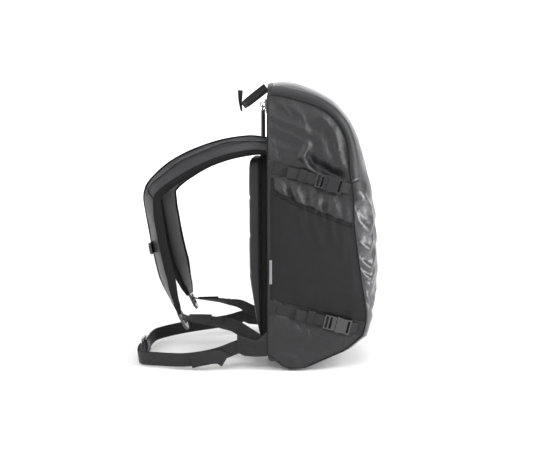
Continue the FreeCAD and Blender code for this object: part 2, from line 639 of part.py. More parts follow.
def clip(label, start, place):
    body = new_body(label)
    sketch = new_sketch(body, "XZ_Plane", "-dims.clip_lift")
    half = "dims.clip_width / 2"
    shoulder = f"{start} + dims.clip_length"
    tip = f"{start} + dims.clip_length + dims.prong_length"
    arm = f"{half} - 1"
    guide = "dims.guide_width / 2"
    outline(sketch, [(start, f"-{half}"), (shoulder, f"-{half}"), (shoulder, f"-({arm})"), (tip, f"-({arm})"),
                     (tip, f"-({arm}) + dims.arm_width"), (shoulder, f"-({arm}) + dims.arm_width"),
                     (shoulder, f"-{guide}"), (tip, f"-{guide}"), (tip, guide), (shoulder, guide),
                     (shoulder, f"{arm} - dims.arm_width"), (tip, f"{arm} - dims.arm_width"), (tip, arm),
                     (shoulder, arm), (shoulder, half), (start, half)])
    pad(body, sketch, "dims.clip_thick", reverse=True)
    sketch = new_sketch(body, "XZ_Plane", "-dims.clip_lift")
    for place_x in ("3", "10"):
        low = f"{start} + {place_x}"
        rectangle(sketch, low, f"{low} + dims.slot_length", "-dims.narrow_webbing / 2 - 0.4",
                  "dims.narrow_webbing / 2 + 0.4")
    pocket(body, sketch, through=True, midplane=True)
    settle(body, *place)


def socket(label, start, place):
    body = new_body(label)
    low = "(dims.clip_lift - dims.socket_gap - 0.4)"
    sketch = new_sketch(body, "XZ_Plane", f"-{low}")
    half = "dims.socket_width / 2"
    end = f"{start} + dims.socket_length"
    waist = f"{start} + dims.socket_length / 2"
    outline(sketch, [(start, f"-{half}"), (waist, f"-{half} + 2"), (end, f"-{half} + 1"),
                     (end, f"{half} - 1"), (waist, f"{half} - 2"), (start, half)])
    pad(body, sketch, "dims.clip_thick + 2 * dims.socket_gap + 1.4", reverse=True)
    mouth = new_sketch(body, "YZ_Plane", start)
    rectangle(mouth, "dims.clip_lift - dims.socket_gap", "dims.clip_lift + dims.clip_thick + dims.socket_gap",
              "-dims.clip_width / 2 + 0.4", "dims.clip_width / 2 - 0.4")
    pocket(body, mouth, "dims.prong_length + 1", reverse=True)
    sketch = new_sketch(body, "XZ_Plane", f"-{low}")
    rectangle(sketch, f"{end} - 7", f"{end} - 3", "-dims.narrow_webbing / 2 - 0.4",
              "dims.narrow_webbing / 2 + 0.4")
    pocket(body, sketch, through=True, midplane=True)
    settle(body, *place)


def keeper(label, start, place):
    """A moulded loop round the webbing."""
    body = new_body(label)
    sketch = new_sketch(body, "YZ_Plane", start)
    inner_low = "dims.webbing_lift - 0.2"
    inner_high = "dims.webbing_lift + dims.narrow_thick + 0.4"
    half = "dims.narrow_webbing / 2 + 0.4"
    rectangle(sketch, "0.1", f"{inner_high} + dims.keeper_wall", f"-({half}) - 2", f"{half} + 2")
    rectangle(sketch, inner_low, inner_high, f"-({half})", half)
    pad(body, sketch, "dims.keeper_length")
    return settle(body, *place, node=False)


# Compression straps: one upper and one lower on each side. Webbing sewn to the back seam runs forwards
# through a keeper to the clip, and a short tab sewn to the front seam holds the socket.

BUCKLE_LENGTH = "(dims.clip_length + dims.socket_length)"
keepers = []
front_tabs = []
for level in ("upper", "lower"):
    for name, sign in SIDES:
        run = f"dims.{level}_run"
        clip_start = f"({run} - dims.tab_reach - {BUCKLE_LENGTH})"
        socket_start = f"({clip_start} + dims.clip_length + 0.4)"
        slope = FreeCAD.Rotation(V(0, 1, 0), size(f"{level}_slope"))
        flip = FreeCAD.Rotation(V(1, 0, 0), 180 if sign < 0 else 0)
        place = (f"dims.{level}_back", f"{sign} * dims.bag_width / 2", f"dims.{level}_height", slope * flip)
        strap_run(f"{level}_strap_{name}", "0", f"{clip_start} + 8", "dims.narrow_webbing", place)
        clip(f"{level}_clip_{name}", clip_start, place)
        socket(f"{level}_socket_{name}", socket_start, place)
        keepers.append(keeper(f"{level}_keeper_{name}",
                              f"{clip_start} - dims.keeper_gap - dims.keeper_length", place))
        tab_start = f"{socket_start} + dims.socket_length - 8"
        front_tabs.append(strap_run(f"{level}_tab_{name}", tab_start, run, "dims.narrow_webbing", place,
                                    node=False))
NODES.append(group("strap_keepers", keepers))
NODES.append(group("buckle_tabs", front_tabs))

# Sternum strap: a slider on each shoulder strap, webbing between them and a buckle in the middle.
# It leans with the straight chest part of the shoulder straps and slides along it.

CHEST_SHARE = (CHEST_TOP.y - size("sternum_height")) / (CHEST_TOP.y - CHEST_LOW.y)
STERNUM_POINT = CHEST_TOP + (CHEST_LOW - CHEST_TOP) * CHEST_SHARE
LEAN_TURN = FreeCAD.Rotation(V(0, 1, 0), CHEST_LEAN)
# From the buckle's own frame: along becomes +Y, outwards becomes -X.
STERNUM_TURN = LEAN_TURN * FreeCAD.Rotation(V(0, 0, 1), 90)
STRAP_FACE = "(dims.strap_thick / 2 + 0.4)"
sternum_place = (f"{STERNUM_POINT.x}", "0", f"{STERNUM_POINT.y}", STERNUM_TURN)
slider_pieces = []
for name, sign in SIDES:
    middle = f"{sign} * dims.strap_side"
    half_wide = "dims.sternum_slider_wide / 2"
    half_tall = "dims.sternum_slider_tall / 2"
    near = f"{middle} - {half_wide}"
    far = f"{middle} + {half_wide}"
    corners = [(near, f"-{half_tall}"), (far, f"-{half_tall}"), (far, half_tall), (near, half_tall)]
    slider_pieces.append(slab(f"sternum_slider_{name}", corners, STRAP_FACE, "dims.sternum_slider",
                              sternum_place, node=False))
NODES.append(group("sternum_sliders", slider_pieces))

# The sternum buckle's own base is the sliders' outer face, less the lift of the webbing.
STERNUM_BASE = f"({STRAP_FACE} + dims.sternum_slider - dims.webbing_lift)"
base_shift = STERNUM_TURN.multVec(V(0, value(STERNUM_BASE), 0))
buckle_place = (f"{STERNUM_POINT.x + base_shift.x}", "0", f"{STERNUM_POINT.y + base_shift.z}", STERNUM_TURN)
CLIP_START = "(-dims.clip_length)"
SOCKET_START = "0.4"
WEB_END = "(dims.strap_side + 10)"
strap_run("sternum_web_left", f"-{WEB_END}", f"{CLIP_START} + 8", "dims.narrow_webbing", buckle_place)
strap_run("sternum_web_right", f"{SOCKET_START} + dims.socket_length - 8", WEB_END,
          "dims.narrow_webbing", buckle_place)
clip("sternum_clip", CLIP_START, buckle_place)
socket("sternum_socket", SOCKET_START, buckle_place)

# Inflation system, inside the bag in the plane of the left strap: a gas cartridge screws up into a firing
# head, and the cable lifts a lever that drives a pin through the cartridge's seal.

SYSTEM_SIDE = "-dims.strap_side"
BOTTLE_TOP = "(dims.bottle_height + dims.bottle_length + dims.bottle_shoulder + dims.neck_length)"
HEAD_BASE = f"({BOTTLE_TOP} - dims.head_overlap)"
HEAD_TOP = f"({HEAD_BASE} + dims.head_height)"

body = new_body("gas_cartridge")
sketch = new_sketch(body, "XZ_Plane")
shoulder = "(dims.bottle_length + dims.bottle_shoulder)"
mouth = f"({shoulder} + dims.neck_length)"
outline(sketch, [("0", "0"), ("dims.bottle_radius - 8", "0"), ("dims.bottle_radius", "8"),
                 ("dims.bottle_radius", "dims.bottle_length"), ("dims.neck_radius", shoulder),
                 ("dims.neck_radius", mouth), ("dims.neck_bore", mouth),
                 ("dims.neck_bore", f"{mouth} - dims.neck_depth"), ("0", f"{mouth} - dims.neck_depth")])
turned = body.newObject("PartDesign::Revolution", "turned")
turned.Profile = sketch
turned.ReferenceAxis = (sketch, ["V_Axis"])
turned.Angle = 360
doc.recompute()
settle(body, "dims.bottle_back", SYSTEM_SIDE, "dims.bottle_height")

body = new_body("firing_head")
sketch = new_sketch(body, "XY_Plane")
half = "dims.head_side / 2"
rectangle(sketch, f"-{half}", half, f"-{half}", half)
pad(body, sketch, "dims.head_height")
ears = new_sketch(body, "XZ_Plane")
ear_low = "dims.head_height - 2"
ear_high = "dims.head_height + dims.pivot_height + 5"
rectangle(ears, "dims.lever_arm - 5", "dims.lever_arm + 5", ear_low, ear_high)
fork = "dims.lever_width + 2 * dims.ear_gap"
pad(body, ears, f"{fork} + 2 * dims.ear_thick", midplane=True)
gap = new_sketch(body, "XZ_Plane")
rectangle(gap, "dims.lever_arm - 6", "dims.lever_arm + 6", "dims.head_height", "dims.head_height + 40")
pocket(body, gap, fork, midplane=True)
bores = (("dims.neck_radius + dims.thread_gap", "0", "dims.head_overlap + 1"),
         ("dims.pin_radius + dims.pin_gap", "0", "dims.head_height + 1"))
for radius, start, depth in bores:
    bore = new_sketch(body, "XY_Plane", start)
    circle(bore, "0", "0", radius)
    pocket(body, bore, depth, reverse=True)
well = new_sketch(body, "XY_Plane", "dims.head_height")
circle(well, "0", "0", "dims.pin_radius + dims.pin_gap + dims.spring_wall + 0.5")
pocket(body, well, "dims.spring_length + 1")
pivot = new_sketch(body, "XZ_Plane")
circle(pivot, "dims.lever_arm", "dims.head_height + dims.pivot_height", "dims.pivot_radius")
pocket(body, pivot, through=True, midplane=True)
settle(body, "dims.bottle_back", SYSTEM_SIDE, HEAD_BASE)

# Piercing pin and its spring, upright in the head's bore.
body = new_body("piercing_pin")
sketch = new_sketch(body, "XZ_Plane")
outline(sketch, [("0", "0"), ("0.4", "0"), ("dims.pin_radius", "dims.pin_tip"),
                 ("dims.pin_radius", "dims.pin_length"), ("dims.stub_radius", "dims.pin_length"),
                 ("dims.stub_radius", "dims.pin_length + dims.stub_length"),
                 ("0", "dims.pin_length + dims.stub_length")])
turned = body.newObject("PartDesign::Revolution", "turned")
turned.Profile = sketch
turned.ReferenceAxis = (sketch, ["V_Axis"])
turned.Angle = 360
doc.recompute()
PIN_TOP = f"({HEAD_TOP} + dims.pivot_height - dims.lever_thick / 2 - 0.4)"
settle(body, "dims.bottle_back", SYSTEM_SIDE, f"{PIN_TOP} - dims.pin_length - dims.stub_length")

body = new_body("pin_spring")
sketch = new_sketch(body, "XY_Plane")
circle(sketch, "0", "0", "dims.pin_radius + dims.pin_gap + dims.spring_wall")
circle(sketch, "0", "0", "dims.pin_radius + dims.pin_gap")
pad(body, sketch, "dims.spring_length")
settle(body, "dims.bottle_back", SYSTEM_SIDE, f"{HEAD_TOP} - dims.spring_length - 0.8")

# Trigger lever, which rocks on its pivot pin between the head's two ears.
body = new_body("trigger_lever")
sketch = new_sketch(body, "XZ_Plane")
rectangle(sketch, "-dims.lever_tail", "dims.lever_reach", "-dims.lever_thick / 2", "dims.lever_thick / 2")
circle(sketch, "0", "0", "dims.pivot_radius + dims.pivot_gap")
pad(body, sketch, "dims.lever_width", midplane=True)
settle(body, "dims.bottle_back + dims.lever_arm", SYSTEM_SIDE, f"{HEAD_TOP} + dims.pivot_height")

pivot_pin = doc.addObject("Part::Cylinder", "lever_pivot")
pivot_pin.Label = "lever_pivot"
pivot_pin.setExpression("Radius", "dims.pivot_radius")
pivot_pin.setExpression("Height", "dims.lever_width + 2 * dims.ear_gap + 2 * dims.ear_thick")
settle(pivot_pin, "dims.bottle_back + dims.lever_arm",
       f"{SYSTEM_SIDE} + dims.lever_width / 2 + dims.ear_gap + dims.ear_thick",
       f"{HEAD_TOP} + dims.pivot_height", FreeCAD.Rotation(V(1, 0, 0), 90))

# Trigger handle, stowed inside the chest part of the left strap, and the cable that it pulls. The cable
# runs up inside the strap, over the shoulder, through the back wall and down to the lever.
body = new_body("trigger_handle")
sketch = new_sketch(body, "YZ_Plane")
rectangle(sketch, "-dims.handle_width / 2", "dims.handle_width / 2", "-dims.handle_length", "0")
handle = pad(body, sketch, "dims.handle_thick", midplane=True)
fillet(body, handle, "dims.handle_thick", along("x"))
HANDLE_POINT = CHEST_TOP + CHEST_LINE * size("handle_set")
settle(body, str(HANDLE_POINT.x), SYSTEM_SIDE, str(HANDLE_POINT.y), LEAN_TURN)

CABLE_X = value("dims.bottle_back + dims.lever_arm + dims.lever_reach - 4")
CABLE_LOW = value(f"{HEAD_TOP} + dims.pivot_height + dims.lever_thick / 2 + dims.cable_clear")
cable_end = CHEST_TOP + CHEST_LINE * (size("handle_set") - 1)
INSIDE_ROUTE = [(CABLE_X, CABLE_LOW), (CABLE_X, size("strap_height"))]
CABLE_ROUTE = INSIDE_ROUTE + STRAP_ROUTE[1:4] + [(cable_end.x, cable_end.y)]
CABLE_ROUNDS = [40, 110, 110, 25]
body = new_body("trigger_cable")
route = new_sketch(body, "XZ_Plane", "dims.strap_side")
rounded_route(route, CABLE_ROUTE, CABLE_ROUNDS)
profile = new_sketch(body, "XY_Plane", str(CABLE_LOW))
circle(profile, str(CABLE_X), SYSTEM_SIDE, "dims.cable_radius")
pipe(body, "AdditivePipe", profile, route)
settle(body)
cable_length = body.Shape.Volume / (math.pi * size("cable_radius") ** 2)
print(f"trigger cable: {cable_length:.0f} mm long, radii {CABLE_ROUNDS}")

# Inflator: a tube that draws in outside air through a grille and past a hinged flap, into the airbag.
# The airbag's mouth is clamped to the tube's flange by a ring of screws.

FAN_PLACE = ("dims.fan_back", "dims.fan_side", "dims.fan_height", FreeCAD.Rotation(V(1, 0, 0), -90))

body = new_body("inflator_tube")
sketch = new_sketch(body, "XY_Plane")
circle(sketch, "0", "0", "dims.fan_radius")
tube = pad(body, sketch, "dims.fan_length")
rim = new_sketch(body, "XY_Plane")
circle(rim, "0", "0", "dims.flange_radius")
pad(body, rim, "dims.flange_thick")
bore = new_sketch(body, "XY_Plane")
circle(bore, "0", "0", "dims.fan_radius - dims.fan_wall")
pocket(body, bore, through=True, midplane=True)


def screw_ring(target, radius):
    """Evenly spaced screw holes round a flange."""
    sketch = new_sketch(target, "XY_Plane")
    circle(sketch, "dims.screw_circle", "0", radius)
    hole = pocket(target, sketch, "dims.flange_thick * 2", midplane=True)
    pattern = target.newObject("PartDesign::PolarPattern", "screws")
    pattern.Originals = [hole]
    pattern.Axis = (sketch, ["N_Axis"])
    pattern.Angle = 360
    pattern.setExpression("Occurrences", "dims.screw_count")
    target.Tip = pattern
    doc.recompute()


screw_ring(body, "dims.screw_radius + 0.1")
settle(body, *FAN_PLACE)

body = new_body("airbag_clamp_ring")
sketch = new_sketch(body, "XY_Plane", "-dims.flange_thick / 2")
circle(sketch, "0", "0", "dims.flange_radius")
circle(sketch, "0", "0", "dims.fan_radius - dims.fan_wall")
pad(body, sketch, "dims.flange_thick / 2")
screw_ring(body, "dims.screw_radius + 0.1")
settle(body, *FAN_PLACE)

screws = []
for number in range(int(size("screw_count"))):
    angle = 2 * math.pi * number / size("screw_count")
    shank = doc.addObject("Part::Cylinder", f"screw_{number}")
    shank.setExpression("Radius", "dims.screw_radius")
    shank.setExpression("Height", "dims.flange_thick * 1.4")
    shank.Placement = FreeCAD.Placement(V(0, 0, 0), FreeCAD.Rotation(V(1, 0, 0), -90))
    shank.setExpression(".Placement.Base.x", f"dims.fan_back + dims.screw_circle * {math.cos(angle):.9f}")
    shank.setExpression(".Placement.Base.y", "dims.fan_side - dims.flange_thick / 2")
    shank.setExpression(".Placement.Base.z", f"dims.fan_height + dims.screw_circle * {math.sin(angle):.9f}")
    screws.append(shank)
settle(group("clamp_screws", screws))

body = new_body("intake_grille")
sketch = new_sketch(body, "XY_Plane", "dims.fan_length + 0.2")
circle(sketch, "0", "0", "dims.fan_radius")
grille = pad(body, sketch, "dims.grille_thick")
holes = new_sketch(body, "XY_Plane", "dims.fan_length")
circle(holes, "0", "0", "dims.grille_hole")
for turn in range(6):
    angle = math.pi * turn / 3
    for ring in (9, 17):
        circle(holes, f"{ring * math.cos(angle):.6f}", f"{ring * math.sin(angle):.6f}", "dims.grille_hole")
pocket(body, holes, through=True, midplane=True)
settle(body, *FAN_PLACE)

body = new_body("check_flap")
sketch = new_sketch(body, "XY_Plane", "dims.fan_length * 0.7")
circle(sketch, "0", "dims.flap_radius - dims.flap_pivot", "dims.flap_radius")
pad(body, sketch, "dims.flap_disc")
settle(body, *FAN_PLACE)

# Airbag, folded and packed under the crown.
body = new_body("airbag_folded")
sketch = new_sketch(body, "XY_Plane")
rectangle(sketch, "0", "dims.airbag_deep", "0", "dims.airbag_wide")
airbag = pad(body, sketch, "dims.airbag_tall")
fillet(body, airbag, "dims.airbag_tall / 8", lambda edge: True)
settle(body, "dims.airbag_back", "dims.airbag_left", "dims.airbag_low")

# Every object is sound before anything is written.
doc.recompute()
for item in doc.Objects:
    if "Invalid" in item.State or "Error" in item.State:
        raise RuntimeError(f"{item.Label} failed: {item.State}")
for node in NODES:
    shape = node.Shape
    if shape.isNull() or not shape.isValid() or not shape.Solids:
        raise RuntimeError(f"{node.Label} has no sound shape")

os.makedirs("parts", exist_ok=True)
for node in NODES:
    node.Shape.exportStep(f"parts/{node.Label}.step")
print(len(NODES), "nodes")
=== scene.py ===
import json
import math

import bmesh
import bpy
import numpy as np
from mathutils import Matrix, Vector

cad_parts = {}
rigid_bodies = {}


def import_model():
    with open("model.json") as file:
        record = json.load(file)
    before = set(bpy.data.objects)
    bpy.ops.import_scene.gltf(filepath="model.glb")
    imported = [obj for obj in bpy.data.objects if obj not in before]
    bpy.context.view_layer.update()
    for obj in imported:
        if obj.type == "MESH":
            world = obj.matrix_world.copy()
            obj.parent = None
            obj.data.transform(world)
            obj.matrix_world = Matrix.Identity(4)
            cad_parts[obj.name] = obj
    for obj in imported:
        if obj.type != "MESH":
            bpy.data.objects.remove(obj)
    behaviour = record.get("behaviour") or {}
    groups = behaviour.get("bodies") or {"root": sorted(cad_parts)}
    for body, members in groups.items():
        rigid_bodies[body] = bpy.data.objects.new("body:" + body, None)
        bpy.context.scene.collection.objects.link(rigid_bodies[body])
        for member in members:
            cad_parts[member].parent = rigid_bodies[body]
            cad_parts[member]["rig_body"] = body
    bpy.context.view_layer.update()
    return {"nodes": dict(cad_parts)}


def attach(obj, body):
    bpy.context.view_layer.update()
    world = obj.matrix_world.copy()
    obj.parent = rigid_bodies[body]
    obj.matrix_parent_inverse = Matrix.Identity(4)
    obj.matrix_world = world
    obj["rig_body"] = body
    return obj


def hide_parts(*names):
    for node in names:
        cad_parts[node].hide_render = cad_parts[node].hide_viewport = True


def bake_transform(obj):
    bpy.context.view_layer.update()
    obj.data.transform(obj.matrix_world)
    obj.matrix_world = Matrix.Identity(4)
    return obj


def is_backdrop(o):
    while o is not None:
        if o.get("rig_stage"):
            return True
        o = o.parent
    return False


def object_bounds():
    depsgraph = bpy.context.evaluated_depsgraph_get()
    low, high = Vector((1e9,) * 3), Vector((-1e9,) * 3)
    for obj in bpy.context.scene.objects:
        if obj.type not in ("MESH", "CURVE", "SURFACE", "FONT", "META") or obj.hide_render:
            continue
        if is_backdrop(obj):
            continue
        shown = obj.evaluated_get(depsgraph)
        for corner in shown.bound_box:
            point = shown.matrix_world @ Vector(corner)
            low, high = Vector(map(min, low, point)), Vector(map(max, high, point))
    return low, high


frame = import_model()

# ---------------------------------------------------------------------------------------------------------
# Side panels. Coated nylon cut to the bag's side view and sewn into the seams all round. The load and the
# compression straps pull them into soft folds that fan out from the top back corner.


def in_frame(points):
    """Drawing millimetres as row-frame metres: (x, y, height - 305) / 1000."""
    return (np.asarray(points, float) - (0.0, 0.0, 305.0)) / 1000.0


def smooth_line(points, count):
    """A Catmull-Rom curve through the points, then sampled at count even steps of its own length."""
    p = np.asarray(points, float)
    p = np.vstack([2 * p[0] - p[1], p, 2 * p[-1] - p[-2]])
    t = np.linspace(0, 1, 20, endpoint=False)[:, None]
    a, b, c, d = (q[:, None, :] for q in (p[:-3], p[1:-2], p[2:-1], p[3:]))
    curve = 0.5 * (2 * b + (c - a) * t + (2 * a - 5 * b + 4 * c - d) * t**2 + (3 * b - a - 3 * c + d) * t**3)
    fine = np.vstack([curve.reshape(-1, p.shape[1]), p[-2:-1]])
    run = np.r_[0, np.cumsum(np.linalg.norm(np.diff(fine, axis=0), axis=1))]
    want = np.linspace(0, run[-1], count)
    return np.stack([np.interp(want, run, fine[:, k]) for k in range(p.shape[1])], axis=1)


def folds(x, z, lines):
    """Sum of soft ridges. Each is (x0, z0, x1, z1, height, width): a Gaussian of the distance to the line."""
    total = np.zeros_like(x)
    for x0, z0, x1, z1, height, width in lines:
        length2 = (x1 - x0) ** 2 + (z1 - z0) ** 2
        t = np.clip(((x - x0) * (x1 - x0) + (z - z0) * (z1 - z0)) / length2, 0, 1)
        gap2 = (x - x0 - t * (x1 - x0)) ** 2 + (z - z0 - t * (z1 - z0)) ** 2
        total += height * np.exp(-gap2 / width**2) * (0.35 + 0.65 * np.sin(math.pi * (0.15 + 0.7 * t)))
    return total


def ripples(x, z, seed, size, amount):
    """Small uneven wrinkles: nine sine waves of random heading, with wavelengths from size to 3 * size."""
    rng = np.random.default_rng(seed)
    total = np.zeros_like(x)
    for _ in range(9):
        heading, phase, wave = rng.uniform(0, math.pi), rng.uniform(0, 6.28), size * rng.uniform(1, 3)
        bend = 0.9 * np.sin(x / (wave * 1.7) + phase) + 0.9 * np.cos(z / (wave * 2.1) - phase)
        total += np.sin(2 * math.pi * (x * math.cos(heading) + z * math.sin(heading)) / wave + phase + bend)
    return amount * total / 4


def surface(name, grid, around=False, ends=False, flip=False, thick=0.0, weld=False):
    """A mesh on a rows by columns grid of points in mm. UVs are lengths in metres along the two directions.
    around closes each row into a ring; ends closes the first and last rows and turns the faces outward by the
    sign of the volume; thick gives the cloth its second face."""
    grid = np.asarray(grid, float)
    rows, cols = grid.shape[:2]
    ring = np.concatenate([grid, grid[:, :1]], axis=1) if around else grid
    down = np.r_[0, np.cumsum(np.linalg.norm(np.diff(grid, axis=0), axis=2).mean(axis=1))] / 1000
    over = np.r_[0, np.cumsum(np.linalg.norm(np.diff(ring, axis=1), axis=2).mean(axis=0))] / 1000
    i, j = np.meshgrid(np.arange(rows - 1), np.arange(len(over) - 1), indexing="ij")
    row = np.stack([i, i + 1, i + 1, i], axis=-1).reshape(-1, 4)
    col = np.stack([j, j, j + 1, j + 1], axis=-1).reshape(-1, 4)
    if ends:
        p = grid.reshape(-1, 3)[row * cols + col % cols] - grid.mean(axis=(0, 1))
        flip = np.sum(p[:, 0] * (np.cross(p[:, 1], p[:, 2]) + np.cross(p[:, 2], p[:, 3]))) < 0
    if flip:
        row, col = row[:, ::-1], col[:, ::-1]
    faces = (row * cols + col % cols).tolist()
    uv = np.stack([over[col], down[row]], axis=-1).reshape(-1, 2)
    if ends:
        first, last = list(range(cols)), [(rows - 1) * cols + k for k in range(cols)]
        faces += [first, last[::-1]] if flip else [first[::-1], last]
        uv = np.vstack([uv, np.zeros((2 * cols, 2))])
    mesh = bpy.data.meshes.new(name)
    mesh.from_pydata(in_frame(grid.reshape(-1, 3)).tolist(), [], faces)
    layer = mesh.uv_layers.new(name="UVMap")
    layer.data.foreach_set("uv", uv.astype(np.float32).ravel())
    mesh.polygons.foreach_set("use_smooth", np.ones(len(mesh.polygons), bool))
    if ends:
        mesh.polygons[-1].use_smooth = mesh.polygons[-2].use_smooth = False
    if weld:
        work = bmesh.new()
        work.from_mesh(mesh)
        bmesh.ops.remove_doubles(work, verts=work.verts, dist=1e-5)
        work.to_mesh(mesh)
        work.free()
    piece = bpy.data.objects.new(name, mesh)
    bpy.context.scene.collection.objects.link(piece)
    if thick:
        shell = piece.modifiers.new("cloth", "SOLIDIFY")
        shell.thickness, shell.offset = thick / 1000, -1.0
    return piece


def linear(code):
    """An sRGB hex colour as linear RGBA."""
    parts = [int(code[k:k + 2], 16) / 255 for k in (0, 2, 4)]
    return [c / 12.92 if c <= 0.04045 else ((c + 0.055) / 1.055) ** 2.4 for c in parts] + [1.0]


def add(tree, kind, inputs=None, **settings):
    """One shader node: settings are its properties, inputs its socket values or the sockets linked into it."""
    node = tree.nodes.new(kind)
    for key, value in settings.items():
        setattr(node, key, value)
    for key, value in (inputs or {}).items():
        if isinstance(value, bpy.types.NodeSocket):
            tree.links.new(value, node.inputs[key])
        else:
            node.inputs[key].default_value = value
    return node


def start(name, code, roughness, specular=0.5, metal=0.0, sheen=0.0, coat=0.0):
    """A new material with one principled shader. Returns the material, its tree and the shader."""
    material = bpy.data.materials.new(name)
    material.use_nodes = True
    tree = material.node_tree
    tree.nodes.clear()
    shader = add(tree, "ShaderNodeBsdfPrincipled", {
        "Base Color": linear(code), "Roughness": roughness, "Metallic": metal,
        "Specular IOR Level": specular, "Sheen Weight": sheen, "Sheen Roughness": 0.45,
        "Coat Weight": coat, "Coat Roughness": 0.28})
    out = add(tree, "ShaderNodeOutputMaterial")
    tree.links.new(shader.outputs["BSDF"], out.inputs["Surface"])
    return material, tree, shader


def woven(name, code, roughness, pitch, depth, crinkle=0.0, crinkle_size=0.02, **finish):
    """Plain weave: crossed sine waves on the UV's real lengths, over a crumple of stretched noise."""
    material, tree, shader = start(name, code, roughness, **finish)
    place = add(tree, "ShaderNodeUVMap", uv_map="UVMap").outputs["UV"]
    solid = add(tree, "ShaderNodeTexCoord").outputs["Object"]
    parts = add(tree, "ShaderNodeSeparateXYZ", {0: place})
    turn = 2 * math.pi / pitch
    waves = []
    for axis in ("X", "Y"):
        scaled = add(tree, "ShaderNodeMath", {0: parts.outputs[axis], 1: turn}, operation="MULTIPLY")
        waves.append(add(tree, "ShaderNodeMath", {0: scaled.outputs[0]}, operation="SINE").outputs[0])
    cloth = add(tree, "ShaderNodeMath", {0: waves[0], 1: waves[1]}, operation="MULTIPLY").outputs[0]
    normal = add(tree, "ShaderNodeBump", {"Height": cloth, "Distance": depth, "Strength": 1.0})
    if crinkle:
        creased = add(tree, "ShaderNodeTexNoise", {
            "Vector": solid, "Scale": 1 / crinkle_size, "Detail": 5.0, "Roughness": 0.55, "Distortion": 1.6})
        normal = add(tree, "ShaderNodeBump", {
            "Height": creased.outputs["Fac"], "Distance": crinkle, "Strength": 1.0,
            "Normal": normal.outputs["Normal"]})
    tree.links.new(normal.outputs["Normal"], shader.inputs["Normal"])
    shade = add(tree, "ShaderNodeTexNoise", {"Vector": solid, "Scale": 30.0, "Detail": 4.0})
    tint = add(tree, "ShaderNodeMapRange", {
        "Value": shade.outputs["Fac"], "From Min": 0.3, "From Max": 0.7, "To Min": 0.88, "To Max": 1.12})
    grey = add(tree, "ShaderNodeCombineXYZ", {
        "X": tint.outputs[0], "Y": tint.outputs[0], "Z": tint.outputs[0]})
    # Sockets 6 and 7 of a Mix node are its two colours.
    colour = add(tree, "ShaderNodeMix", {0: 1.0, 6: linear(code)}, data_type="RGBA", blend_type="MULTIPLY")
    tree.links.new(grey.outputs[0], colour.inputs[7])
    tree.links.new(colour.outputs[2], shader.inputs["Base Color"])
    return material


def dress(piece, material, body=None, nodes=()):
    """Gives a piece its material, its CAD body and the CAD nodes that it stands for."""
    piece.data.materials.clear()
    piece.data.materials.append(material)
    if body:
        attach(piece, body)
    if nodes:
        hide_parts(*nodes)
    return piece


# Tight nylon with a polyurethane coating: satin, with fine crumpling. Threads of 0.4 mm are drawn at 1.2 mm.
side_nylon = woven("coated_nylon_satin", "1B1B1D", 0.36, 0.0012, 0.00006, 0.0018, 0.020, specular=0.42)

seam_edge = smooth_line([
    (36, 531), (56, 530), (79, 525), (105, 518), (131, 508), (155, 491), (171, 468), (180, 440), (183, 407),
    (186, 376), (190, 345), (191, 318), (193, 290), (199, 244), (206, 196), (212, 162), (215, 128),
    (209, 98)], 170)
base_edge = smooth_line([(209, 98), (180, 73), (154, 60), (125, 47), (106, 39), (92, 37), (76, 36)], 50)
back_edge = smooth_line([(76, 36), (63, 41), (50, 52), (36, 62), (36, 200), (36, 380), (36, 531)], 120)

front_chain = np.vstack([base_edge[::-1], seam_edge[::-1][1:]])
share = np.linspace(0, 1, 260)
run = np.r_[0, np.cumsum(np.linalg.norm(np.diff(front_chain, axis=0), axis=1))]
fronts = np.stack([np.interp(share * run[-1], run, front_chain[:, k]) for k in (0, 1)], axis=1)
run = np.r_[0, np.cumsum(np.linalg.norm(np.diff(back_edge, axis=0), axis=1))]
backs = np.stack([np.interp(share**1.15 * run[-1], run, back_edge[:, k]) for k in (0, 1)], axis=1)
across = np.linspace(0, 1, 150)[None, :, None]
side_grid = backs[:, None, :] * (1 - across) + fronts[:, None, :] * across

# Folds as (x0, z0, x1, z1, height, width) in mm: those that fan from the top back corner, those gathered
# round the upper strap, those below it down to the pocket's hem, and those low on the panel.
FAN = [
    (32, 500, 103, 468, 4.0, 7), (103, 468, 132, 449, 2.0, 9), (40, 477, 72, 463, 3.2, 5),
    (72, 463, 104, 447, 2.6, 6), (26, 500, 42, 449, 3.0, 5), (42, 449, 52, 418, 2.0, 5),
    (79, 512, 96, 494, 3.4, 6), (96, 494, 101, 478, 2.2, 6), (60, 516, 74, 498, 2.4, 5),
    (118, 505, 128, 488, 1.8, 6), (130, 500, 146, 480, 1.8, 6), (60, 438, 96, 424, 1.8, 10)]
GATHERS = [
    (107, 441, 99, 421, 5.0, 6), (99, 421, 107, 406, 5.0, 6), (107, 406, 131, 382, 4.0, 5),
    (131, 382, 160, 373, 3.0, 5), (122, 408, 164, 386, -8.5, 11), (112, 424, 118, 410, -4.0, 7),
    (156, 468, 161, 434, 3.0, 8), (161, 434, 177, 390, 3.2, 7), (132, 432, 150, 404, 3.0, 11),
    (170, 400, 181, 380, -2.5, 6), (60, 402, 92, 396, 1.5, 9)]
HEM = [
    (58, 374, 66, 352, 4.0, 7), (72, 366, 80, 345, -3.0, 5), (84, 366, 95, 336, 4.5, 8),
    (108, 360, 104, 334, -2.0, 6), (122, 352, 126, 328, 4.0, 9), (140, 340, 136, 322, -3.0, 6),
    (150, 344, 160, 316, 4.5, 10), (178, 330, 182, 306, 2.5, 7)]
LOWER = [
    (60, 132, 70, 96, 2.5, 9), (66, 118, 120, 92, 2.0, 14), (92, 124, 98, 104, -2.0, 6),
    (112, 118, 118, 98, -1.5, 6), (150, 104, 176, 88, 2.0, 9), (96, 60, 150, 80, 2.2, 16),
    (64, 60, 84, 52, 1.5, 7)]

